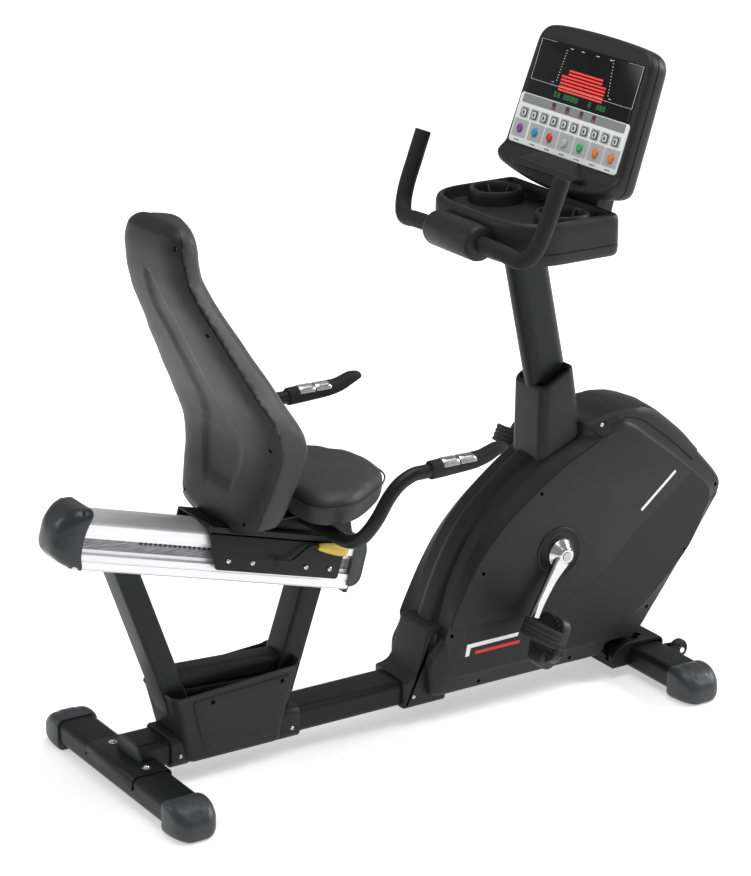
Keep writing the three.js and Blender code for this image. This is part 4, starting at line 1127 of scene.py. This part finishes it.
# Console neck: block moulding that carries the head on the tray
NECK = eased([(1042, 990, 8), (1088, 990, 10), (1118, 1110, 16), (1092, 1130, 12),
              (1060, 1090, 16)], 0, 6)
piece("neck_block", "frame", housing_plastic, moulding(NECK, -80, 80, across, (8, 8), 5),
      ["console_neck"])


# Console head: a two-part case with a crowned chin, and a printed keypad under a strip of
# black glass. Behind the glass glow rows of red and green lamps.

def on_face(a, b, c):
    """a runs to the rider's right, b up the face and c out of it."""
    return at(1060 + 0.3305 * b - 0.9438 * c, -a, 1246.5 + 0.9438 * b + 0.3305 * c)


HALF_CASE = [(0, 152), (60, 151), (120, 148.5), (156, 144.5), (174, 138), (186, 126), (192, 110),
             (195, 60), (198, 0), (200, -60), (202, -118), (200.5, -136), (192, -148),
             (174, -156), (120, -166), (60, -173.5), (0, -177)]
CASE = even([(a, b) for a, b in spline(HALF_CASE + [(-a, b) for a, b in HALF_CASE[-2:0:-1]]
                                       + HALF_CASE[:1], 4)[:-1]], 200)


def case_ring(shrink, c):
    if shrink <= 12:
        flat = inset(CASE, shrink) if shrink else CASE
    else:
        flat = [(a * (200 - shrink) / 200, (b + 12) * (165 - shrink) / 165 - 12) for a, b in CASE]
    if c < -10:
        return [on_face(a, b, c) for a, b in flat]
    return [on_face(a, b, c + 15 * step(-b, 106, 138)) for a, b in flat]


rings = [case_ring(*stop) for stop in (
    (92, -86), (80, -84), (72, -79), (66, -70), (60, -60), (48, -56), (24, -54), (10, -51),
    (4.5, -46), (1, -38), (0, -26), (0, -23.2), (1.8, -22.8), (1.8, -21), (0, -20.6), (0, -9),
    (1, -5.4), (3.2, -2.4), (6.5, -0.6), (11, 0), (16, 0), (24, 0), (32, 0), (40, 0), (50, 0),
    (64, 0), (90, 0), (130, 0))]
piece("console_shell", "frame", housing_plastic, skin(rings),
      ["console_case"], 30)


def polished_black(spot):
    """Smoked acrylic with the faintest film of dust."""
    film = noise(spot, 0.03, 5.0)
    return {"Base Color": mix(film, (0.0016, 0.0016, 0.0018), (0.0032, 0.0032, 0.0035)),
            "Roughness": 0.10 + 0.10 * film}


screen_gloss = material("screen_gloss", polished_black, {"Specular IOR Level": 0.25})
piece("display_glass", "frame", screen_gloss,
      moulding(rectangle(-176, -5, 176, 114, 5), -1, 2.2, on_face, (0, 0.7), 3),
      ["display_window"])


def plate(a0, b0, a1, b1, low, high, radius=0.0, steps=2):
    """A thin flat bar on the face of the console."""
    return moulding(rectangle(a0, b0, a1, b1, radius, steps) if radius else
                    [(a0, b0), (a1, b0), (a1, b1), (a0, b1)], low, high, on_face)


def glowing(name, colour, dim, glow):
    return material(name, lambda spot: {
        "Base Color": mix(noise(spot, 0.004, 2.0), dim, colour),
        "Emission Color": mix(noise(spot, 0.006, 3.0), tinted(colour, 0.8), colour)},
        {"Emission Strength": glow, "Roughness": 0.5})


# The printed white marks are made to glow faintly too: painted light, for they are print and no
# lamp.
print_painted_glow = glowing("printed_white_painted_glow", (0.55, 0.55, 0.55), (0.45, 0.45, 0.45), 0.12)
lamp_red = glowing("lamp_red", (0.85, 0.035, 0.03), (0.3, 0.01, 0.01), 0.9)
lamp_green = glowing("lamp_green", (0.02, 0.30, 0.07), (0.005, 0.1, 0.02), 0.5)
marks = [plate(-170.6, 26, -169.6, 112, 2, 2.5), plate(175.4, 26, 176.4, 112, 2, 2.5),
         plate(-170, 25.4, 176, 26.2, 2, 2.5), plate(-170, 111.6, -120, 112.2, 2, 2.5),
         plate(126, 111.6, 176, 112.2, 2, 2.5)]
for k in range(12):
    for start, end in (((-78, 101), (-84, 37)), ((78, 108), (92, 37))):
        a = start[0] + (end[0] - start[0]) * k / 11
        b = start[1] + (end[1] - start[1]) * k / 11
        marks.append(plate(a - 1.3, b - 1.0, a + 1.3, b + 1.0, 2, 2.5))
marks += [plate(a - 5, 105.6, a + 5, 107.4, 2, 2.5) for a in (-64, -26, 24, 70)]
marks += [plate(a - 4, 31, a + 4, 32.4, 2, 2.5) for a in (-96, 100)]
piece("display_print", "frame", print_painted_glow, joined(*marks))
reds = []
for b, left, right in ((63, -51, 64), (56, -51, 64), (49, -71, 79), (42, -71, 79), (35, -71, 79),
                       (28, -71, 79), (21, -71, 79)):
    count = round((right - left) / 7.2)
    for k in range(count):
        a = left + (right - left) * k / count
        reds.append(plate(a, b - 1.9, a + 6.2, b + 1.9, 2, 2.5))
piece("display_lamps_red", "frame", lamp_red, joined(*reds))
greens = []
for left, right in ((-79, -55), (-46, 4), (39, 52), (67, 98)):
    count = max(1, round((right - left) / 10))
    for k in range(count):
        a = left + (right - left) * k / count
        for b in (4, 9, 13.2):
            greens.append(plate(a + 1, b, a + 6, b + 1, 2, 2.5))
        for da in (0, 6):
            for b in (4.6, 9.6):
                greens.append(plate(a + da, b, a + da + 1, b + 4, 2, 2.5))
piece("display_lamps_green", "frame", lamp_green, joined(*greens))


def printed(tone):
    """Satin printed film."""
    return lambda spot: {
        "Base Color": mix(noise(spot, 0.05, 3.0), tinted(tone, 0.97), tinted(tone, 1.02)),
        "Roughness": 0.38 + 0.1 * noise(spot, 0.01, 4.0)}


keypad_white = material("keypad_film", printed((0.80, 0.81, 0.80)))
film_grey = material("keypad_grey", printed((0.40, 0.41, 0.41)))
film_band = material("keypad_band", printed((0.22, 0.23, 0.235)))
key_dark = material("keypad_dark", printed((0.018, 0.018, 0.020)))
key_pale = material("keypad_key_pale", printed((0.62, 0.63, 0.63)))
piece("keypad_film", "frame", keypad_white,
      moulding(rectangle(-186, -109, 186, -4.6, 8), 0.2, 3.0, on_face, (0, 0.8), 3),
      ["keypad_panel"])
piece("keypad_grey_band", "frame", film_band, plate(-176, -25, 176, -6, 2.4, 3.2, 3, 4))
slots, red_dots = [], []
for a in (-67, -20, 27, 70):
    slots.append(plate(a - 6, -22, a + 6, -8, 2.4, 3.5, 2, 3))
    red_dots.append(plate(a - 1.6, -20, a + 1.6, -17, 2.4, 3.8, 1, 2))
tiles, collars, caps = [], [], []
for k in range(10):
    a = -157 + 35 * k
    tiles.append(plate(a - 14.5, -56, a + 14.5, -33, 2.4, 3.3, 3, 4))
    collars.append(moulding(rectangle(a - 10, -54, a + 10, -36, 5), 2.4, 4.4, on_face,
                            (0, 0.8), 2))
    caps.append(moulding(rectangle(a - 7.2, -52, a + 7.2, -38, 4), 3, 5.4, on_face, (0, 1.2), 3))
    slots.append(plate(a - 2.6, -49, a + 2.6, -41, 4, 5.6, 2.2, 4))
for a in (-157, -101, -49, 3, 55, 107, 158):
    tiles.append(plate(a - 24.5, -97, a + 24.5, -60, 2.4, 3.2, 3, 4))
    slots += [plate(a - 9 + 6 * k, -104.6, a - 4.6 + 6 * k, -102.2, 2.4, 3.3) for k in range(3)]
piece("keypad_tiles", "frame", film_grey, joined(*tiles))
piece("keypad_collars", "frame", key_dark, joined(*collars, *slots))
piece("keypad_caps", "frame", key_pale, joined(*caps))
piece("keypad_red_dots", "frame", lamp_red, joined(*red_dots))


def candy(tone):
    """Tinted translucent key plastic, glossy on top."""
    return lambda spot: {
        "Base Color": mix(noise(spot, 0.006, 2.0), tinted(tone, 0.8), tone),
        "Roughness": 0.16 + 0.1 * noise(spot, 0.003, 3.0)}


TONES = {"purple": (0.20, 0.045, 0.24), "blue": (0.012, 0.26, 0.56), "red": (0.62, 0.018, 0.012),
         "silver": (0.48, 0.50, 0.52), "green": (0.015, 0.42, 0.055), "orange": (0.80, 0.19, 0.012)}
candies = {name: material(f"key_{name}", candy(tone)) for name, tone in TONES.items()}
KEY_GAP = 52.7  # between the middles of two colour keys
for k, name in enumerate((*TONES, "orange"), 1):
    dome = [(0, 2.0), (9.4, 2.0), (9.6, 3.6), (9.0, 5.0), (7.2, 6.2), (4.4, 7.0), (0, 7.3)]
    piece(f"colour_key_{k}", f"keycap_{k}", candies[name],
          turned(dome, shifted(on_face, (k - 4) * KEY_GAP, -79), 32),
          [f"key_{k}"])
piece("key_collars", "frame", drive_steel, joined(*[
    turned([(10.0, 2.6), (12, 2.6), (12, 3.6), (11, 4.2), (10.0, 3.8)],
           shifted(on_face, (k - 3) * KEY_GAP, -79), 32) for k in range(7)]))

# Reading ledge: shelf that stands out from the chin, on a sloped bracket
bracket = skin([[on_face(*p) for p in ring] for ring in (
    [(-62, -110, 4), (62, -110, 4), (62, -110, 8), (-62, -110, 8)],
    [(-70, -114, 4), (70, -114, 4), (70, -114, 13), (-70, -114, 13)],
    [(-96, -136, 12), (96, -136, 12), (96, -136, 34), (-96, -136, 34)])])
SHELF = eased([(-106, -133, 5), (106, -133, 5), (114, -140, 4), (104, -149, 6), (-104, -149, 6),
               (-114, -140, 4)], 0, 5)
piece("reading_shelf", "frame", housing_plastic,
      joined(bracket, moulding(SHELF, 8, 38, on_face, (2, 3), 4)),
      ["reading_ledge"])


# Seat carriage: folded steel channel that rolls on the rail, with a welded upright for the back.
# The release lever comes out of a slotted guide box on the rider's right.

def folded(side):
    outline = eased([(254, 50, 4), (288, -25, 6), (575, -25, 6), (579, 50, 4)], 0, 4)
    return moulding(outline, side * 62 - 2, side * 62 + 2, rail_side, (0.6, 0.6), 2)


top_plate = moulding(eased([(252, -64), (579, -64), (579, 64), (252, 64)], 5, 4), 60, 64,
                     lambda a, b, c: on_rail(a, b, c), (0.8, 0.8), 2)
shoulders = [moulding([(252, side * 60), (579, side * 60), (579, side * 64), (252, side * 64)]
                      [::side], 46, 63, lambda a, b, c: on_rail(a, b, c)) for side in (-1, 1)]
wedges = [moulding(eased([(296, 480), (330, 470), (500, 430), (486, 526), (306, 526)], 3),
                   side * 40 - 3, side * 40 + 3, across, (0.8, 0.8), 2) for side in (-1, 1)]
seat_plate = moulding(rectangle(304, -80, 472, 80, 6), 524, 528.5, upward, (0.8, 0.8), 2)
upright = moulding([(196, 500), (228, 536), (238, 570), (256, 635), (262, 683), (276, 683),
                    (270, 635), (252, 570), (244, 536), (262, 500)], -45, 45, across, (1, 1), 2)
piece("carriage_frame", "seat", frame_paint,
      joined(folded(1), folded(-1), top_plate, *shoulders, *wedges, seat_plate, upright),
      ["seat_carriage"], 30)
roller_bolts = [bolt(5.4, shifted(lambda a, b, c, side=side: on_rail(a, side * c, b), s, -5, 64))
                for side in (-1, 1) for s in (312, 368, 494, 551)]
piece("carriage_bolts", "seat", bolt_zinc, joined(*roller_bolts))
BOX = eased([(393, -22, 4), (432, -22, 4), (434, 44, 6), (398, 46, 10)], 0, 5)
guide = moulding(BOX, -86, -64.2, rail_side, (7, 0), 5)
slot_z = eased([(422, -14), (427, -14), (427, 0), (434, 4), (434, 9), (418, 7), (416, 18),
                (411, 18), (413, 0), (422, -3)], 0.8, 2)
piece("lever_guide_box", "seat", housing_plastic,
      carved(guide, moulding(slot_z, -95, -78, rail_side)), ["lever_guide"], 30)
lever = spline([(408, -78, 8), (440, -78, 8), (452, -78, 12), (478, -78, 38), (490, -78, 42),
                (507, -78, 42)], 6)


def rail_point(s, y, h):
    """The same place along the rail, in millimetres."""
    spot = on_rail(s, y, h)
    return ((spot.x + MIDDLE) * 1000, spot.y * 1000, spot.z * 1000)


piece("release_lever", "seat_lever", frame_paint,
      swept([rail_point(*p) for p in lever], 3, ((0.6, 0.8),), 14),
      ["adjust_lever"], 30)


def mustard(spot):
    """Yellow injection-moulded knob with a faint flow pattern."""
    flow = noise(spot, 0.012, 4.0)
    return {"Base Color": mix(flow, (0.58, 0.40, 0.055), (0.70, 0.50, 0.085)),
            "Roughness": 0.26 + 0.12 * flow,
            "Normal": bump(noise(spot, 0.0014, 2.0), 0.00004, 0.5)}


knob_yellow = material("knob_yellow", mustard)
KNOB = [(503, 5.2), (505, 6.4), (512, 8.2), (522, 9.8), (534, 11.2), (546, 12.2), (556, 12.6),
        (564, 11.9), (569, 10), (572, 6.6), (573.4, 3)]
knob = spline(KNOB, 3)
piece("lever_knob_grip", "seat_lever", knob_yellow,
      swept([rail_point(s, -78, 42 - 0.05 * (s - 505)) for s, _ in knob],
            lambda i: knob[i][1], ((0.1, 0.3),), 28), ["lever_knob"], 30)


# Side bar: one tube bent under the seat and up each side to a pulse grip with two steel pads.

BAR_Y = 270  # from the middle of the bike to each grip
HALF_SIDE = [(531, BAR_Y, 643), (515, BAR_Y, 643), (492, BAR_Y, 641.6), (461, 271, 628),
             (436, 271, 603), (412, 267, 563), (393, 246, 525), (385, 205, 506), (385, 120, 505),
             (385, 40, 505)]
path = spline(HALF_SIDE + [(x, -y, z) for x, y, z in HALF_SIDE[::-1]], 6)
piece("seat_side_bar", "seat", frame_paint, swept(path, 14, ((-0.5, 0.9),)),
      ["side_bar"], 30)


def fuller(share):
    """Makes a sine or cosine draw a slightly squarer round."""
    return math.copysign(abs(share) ** 0.8, share)


# distance forward, height of the middle, half height, half width
GRIP = [(530, 643.5, 15, 13), (531.5, 643.5, 17.4, 15.4), (536, 643.8, 18.2, 16),
        (560, 644.4, 18.2, 16), (600, 645, 17.2, 16), (630, 646, 16.6, 16), (650, 648, 15, 16.4),
        (668, 653, 14.6, 16.8), (684, 659, 13, 16.4), (697, 662, 10, 15), (706, 663, 7, 12),
        (710.5, 662, 3, 6)]
for hand, side in (("left", 1), ("right", -1)):
    rings = []
    for x, z, tall, wide in spline(GRIP, 4):
        rings.append([at(x, side * BAR_Y + wide * fuller(math.cos(t)),
                         z + tall * fuller(math.sin(t)))
                      for t in (2 * math.pi * k / 32 for k in range(32))])
    piece(f"pulse_grip_{hand}", "seat", grip_foam, skin(rings),
          [f"side_grip_{hand}"], 40)
    pads = []
    for x0, x1 in ((556, 592), (595, 632)):
        rings = []
        for k in range(9):
            x = x0 + (x1 - x0) * k / 8
            lift = 1.5 if 0 < k < 8 else 0.4
            tall = 18.2 - 0.021 * (x - 556) + lift
            ring = [(BAR_Y + (16 + lift) * fuller(math.cos(t)), 644.4 + tall * fuller(math.sin(t)))
                    for t in (math.radians(12) + math.radians(156) * j / 16 for j in range(17))]
            ring += [(BAR_Y - 8, 646), (BAR_Y + 8, 646)]
            rings.append([at(x, side * y, z) for y, z in ring])
        pads.append(skin(rings))
    piece(f"pulse_pads_{hand}", "seat", bolt_zinc, joined(*pads), crisp=40)


# Seat: moulded foam in black vinyl on a flat base, and a tall back whose padding is wrapped
# round a plastic shell.

def grained_vinyl(spot):
    """Upholstery vinyl: pressed leather grain, soft sheen and rubbed patches."""
    grain = noise(spot, 0.0016, 4.0)
    fold = noise(spot, 0.05, 3.0)
    return {"Base Color": mix(fold, (0.020, 0.0203, 0.021), (0.031, 0.0315, 0.0325)),
            "Roughness": 0.42 + 0.12 * fold + 0.08 * grain,
            "Normal": bump(grain, 0.00022, 0.55)}


seat_vinyl = material("seat_vinyl", grained_vinyl, {"Specular IOR Level": 0.4})


def stuffed(made, reach, pressure=4.0, voxel=0.006):
    """Swells the piece by cloth simulation, no point going further than reach metres."""
    remesh = made.modifiers.new("even", "REMESH")
    remesh.mode, remesh.voxel_size = "VOXEL", voxel
    settle(made)
    before = [v.co.copy() for v in made.data.vertices]
    cloth = made.modifiers.new("cloth", "CLOTH")
    cloth.settings.use_pressure = True
    cloth.settings.uniform_pressure_force = pressure
    cloth.settings.effector_weights.gravity = 0
    cloth.settings.quality = 4
    cloth.point_cache.frame_start, cloth.point_cache.frame_end = 1, 20
    for count in range(1, 21):
        bpy.context.scene.frame_set(count)
    settle(made)
    bpy.context.scene.frame_set(1)
    for vertex, start in zip(made.data.vertices, before):
        move = vertex.co - start
        if move.length > reach:
            vertex.co = start + move.normalized() * reach


def settle(made):
    """Applies the piece's modifiers to its mesh."""
    bpy.context.view_layer.update()
    worked = made.evaluated_get(bpy.context.evaluated_depsgraph_get())
    mesh = bpy.data.meshes.new_from_object(worked)
    made.modifiers.clear()
    spare, made.data = made.data, mesh
    bpy.data.meshes.remove(spare)


def smoothed(made):
    """One round of subdivision, applied."""
    made.modifiers.new("fine", "SUBSURF").levels = 1
    settle(made)
    made.data.shade_smooth()


HALF_SEAT = [(572, 0), (568, 40), (556, 76), (524, 116), (490, 146), (455, 172), (425, 189),
             (400, 195), (374, 193), (352, 184), (336, 164), (328, 136), (324, 90), (322, 0)]
SEAT_PLAN = even(spline(HALF_SEAT + [(x, -y) for x, y in HALF_SEAT[-2:0:-1]] + HALF_SEAT[:1],
                        4)[:-1], 120)


def seat_ring(share, z):
    return [at(444 + (x - 444) * share, y * share, z - 3 * step(x, 480, 570) * step(z, 560, 590))
            for x, y in SEAT_PLAN]


base_pad = skin([seat_ring(share, z) for share, z in (
    (0.86, 529.5), (0.93, 531), (0.955, 536), (0.965, 548), (0.972, 562), (0.968, 572),
    (0.945, 580), (0.90, 586), (0.82, 590.5), (0.70, 593.5), (0.5, 595), (0.25, 595.6))])
pad = piece("seat_pad", "seat", seat_vinyl, base_pad, ["seat_cushion"])
stuffed(pad, 0.004)
smoothed(pad)
rings = []
for x, y in SEAT_PLAN + SEAT_PLAN[:1]:
    out = Vector((x - 444, y)).normalized()
    middle = Vector((444, 0)) + Vector((x - 444, y)) * 0.978
    rings.append([at(*(middle + out * 1.9 * math.cos(t)),
                     570 - 1.5 * step(x, 480, 570) + 1.9 * math.sin(t))
                  for t in (math.pi / 4 * k for k in range(8))])
piece("seat_piping", "seat", seat_vinyl, skin(rings, False))

# height, parting line from the rear stabiliser, half width there, front edge and its half width
BACK = [(535, 214, 143, 272, 139), (548, 218, 148, 280, 144), (570, 224, 154, 289, 152),
        (607, 234, 166, 300, 165), (640, 243, 176, 310, 175), (683, 248, 192, 318, 184),
        (711, 243, 201, 315, 186), (735, 236, 208, 306, 184), (767, 224, 208, 287, 178),
        (800, 207, 200, 267, 172), (837, 188, 184, 246, 163), (883, 165, 172, 218, 150),
        (911, 152, 160, 203, 140), (949, 133, 149, 180, 130), (985, 115, 138, 160, 119),
        (1010, 105, 128, 148, 112), (1038, 95, 118, 137, 103), (1068, 90, 112, 131, 101),
        (1095, 87, 108, 129, 100), (1118, 89, 101, 126, 96), (1132, 92, 92, 125, 87),
        (1141, 96, 78, 124, 73), (1146, 101, 58, 123, 54), (1147.5, 106, 30, 121, 28)]
GROOVE = [(596, 34), (606, 48), (620, 52), (659, 69), (692, 65), (728, 45), (837, 24), (962, 29),
          (1029, 12), (1046, 4)]


def between(table, z):
    """The row of the table at z, by straight lines."""
    for low, high in zip(table, table[1:]):
        if z <= high[0]:
            t = max(0.0, (z - low[0]) / (high[0] - low[0]))
            return [p + (q - p) * t for p, q in zip(low, high)]
    return list(table[-1])


BACK_LINE = spline(BACK, 4)


def back_point(row, v, depth):
    """v runs from -1 to 1 across the bike; depth is 0 at the parting line, 1 at the front."""
    z, rear, half, front, front_half = row
    wide = half + (front_half - half) * depth
    sag = 24 * (1 - v * v) * step(-z, -640, -540) * (1 - depth)
    crown = 16 * (1 - abs(v) ** 2.6) * depth
    return (rear + (front - rear) * depth + crown, v * wide, z - sag)


shell_rings_back = []
for row in BACK_LINE:
    z, rear, half = row[:3]
    end = step(z, 533, 560) * step(-z, -1149, -1128)
    ring = []
    for k in range(61):
        v = math.sin(math.pi / 2 * (-1 + 2 * k / 60) * 0.999)
        x, y, height = back_point(row, v, 0)
        out = 22 * (1 - abs(v) ** 5) ** 0.7 * (0.35 + 0.65 * end)
        if 596 < height < 1046:
            reach = between(GROOVE, height)[1]
            out -= 5.5 * step(-abs(y), -reach - 5, -reach + 5) * step(height, 598, 612)
            out -= 2.5 * step(abs(y), reach - 3, reach + 2) * step(-abs(y), -reach - 8, -reach - 3)
        ring.append(at(x - out, y, height))
    for k in range(13):
        v = 1 - 2 * k / 12
        x, y, height = back_point(row, v, 0)
        ring.append(at(x - 1.2, y * 0.985, height))
    shell_rings_back.append(ring)
back_screws = [(1111, 97), (947, 134), (712, 178), (549, 118)]
wells = []
for z, y in back_screws:
    row = between(BACK_LINE, z)
    for side in (-1, 1):
        wells.append(turned([(0, -8), (4.8, -8), (4.8, 30), (0, 30)],
                            lambda a, b, c, row=row, y=y, z=z, side=side:
                            at(row[1] - 12 - c, side * y + a, z + b), 20))
piece("back_shell", "seat", housing_plastic, carved(skin(shell_rings_back), *wells),
      ["backrest_shell"], 28)
piece("back_screws", "seat", dark_screw, joined(*[
    bolt(3.8, lambda a, b, c, row=between(BACK_LINE, z), y=y, z=z, side=side:
         at(row[1] - 5 - c, side * y + a, z + b)) for z, y in back_screws for side in (-1, 1)]))
pad_rings = []
for row in BACK_LINE:
    ring = []
    for k in range(25):
        v = -1 + 2 * k / 24
        x, y, height = back_point(row, v, 0)
        ring.append(at(x + 1.2, y * 0.985, height))
    for k in range(1, 6):
        x, y, height = back_point(row, 1, k / 6)
        ring.append(at(x, y * (0.985 + 0.012 * math.sin(math.pi * k / 6)), height))
    for k in range(33):
        v = 1 - 2 * k / 32
        x, y, height = back_point(row, v, 1)
        ring.append(at(x - 9 * abs(v) ** 9, y * 0.985, height))
    for k in range(5, 0, -1):
        x, y, height = back_point(row, -1, k / 6)
        ring.append(at(x, y * (0.985 + 0.012 * math.sin(math.pi * k / 6)), height))
    pad_rings.append(ring)
back_pad = piece("back_pad", "seat", seat_vinyl, skin(pad_rings),
                 ["backrest_cushion"], 60)
stuffed(back_pad, 0.003)
smoothed(back_pad)


# Studio: a pale sweep under soft overhead and side boxes, and a long-lens camera set low on the
# rider's right and behind the seat. None of it belongs to the bike.

# The sweep glows unevenly, which is painted light: its emission colour is 0.55 grey within 1 m of
# the middle and rises to white beyond 3.2 m, so the floor round the bike glows less.
def sweep_painted_glow(spot):
    return {"Base Color": mix(noise(spot, 1.5, 2.0), (0.90, 0.90, 0.90), (0.92, 0.92, 0.92)),
            "Emission Color": mix(band(spot.node("VectorMath", {"operation": "LENGTH"},
                                                 {0: spot}, output=1), 1.0, 3.2),
                                  (0.55, 0.55, 0.55), (1.0, 1.0, 1.0)),
            "Roughness": 0.7 + 0.05 * noise(spot, 0.4, 2.0)}


floor = bpy.data.meshes.new("floor")
floor.from_pydata([(-30, -30, 0), (30, -30, 0), (30, 30, 0), (-30, 30, 0)], [], [(0, 1, 2, 3)])
floor.materials.append(material("sweep_painted_glow", sweep_painted_glow, {"Emission Strength": 0.85}))
floor = bpy.data.objects.new("floor", floor)
bpy.context.scene.collection.objects.link(floor)

world = bpy.data.worlds.new("studio")
world.use_nodes = True
world.node_tree.nodes["Background"].inputs["Color"].default_value = (1, 1, 1, 1)
world.node_tree.nodes["Background"].inputs["Strength"].default_value = 0.34
bpy.context.scene.world = world


def softbox(name, place, aim, width, height, power):
    light = bpy.data.lights.new(name, "AREA")
    light.shape, light.size, light.size_y, light.energy = "RECTANGLE", width, height, power
    glowing = bpy.data.objects.new(name, light)
    glowing.location = place
    glowing.rotation_euler = (Vector(aim) - Vector(place)).to_track_quat("-Z", "Y").to_euler()
    bpy.context.scene.collection.objects.link(glowing)


softbox("top_box", (0.2, -0.3, 4.2), (0, 0, 0.5), 3.2, 2.4, 95)
softbox("left_box", (-3.6, 2.4, 2.6), (0, 0, 0.6), 1.4, 2.0, 30)
softbox("right_box", (4.2, -1.2, 2.6), (0.0, 0, 0.6), 1.4, 2.0, 150)

camera = bpy.data.cameras.new("camera")
camera.lens, camera.sensor_width = 124.62, 36
viewer = bpy.data.objects.new("camera", camera)
AZIMUTH, ELEVATION, DISTANCE = math.radians(-32.239), math.radians(18.90), 6.100
aim = Vector((0.5786 - MIDDLE, 0, 0.623))
back = Vector((math.sin(AZIMUTH) * math.cos(ELEVATION),
               -math.cos(AZIMUTH) * math.cos(ELEVATION), math.sin(ELEVATION)))
viewer.location = aim + back * DISTANCE
viewer.rotation_euler = (-back).to_track_quat("-Z", "Y").to_euler()
bpy.context.scene.collection.objects.link(viewer)
bpy.context.scene.camera = viewer
bpy.context.scene.view_settings.view_transform = "Standard"
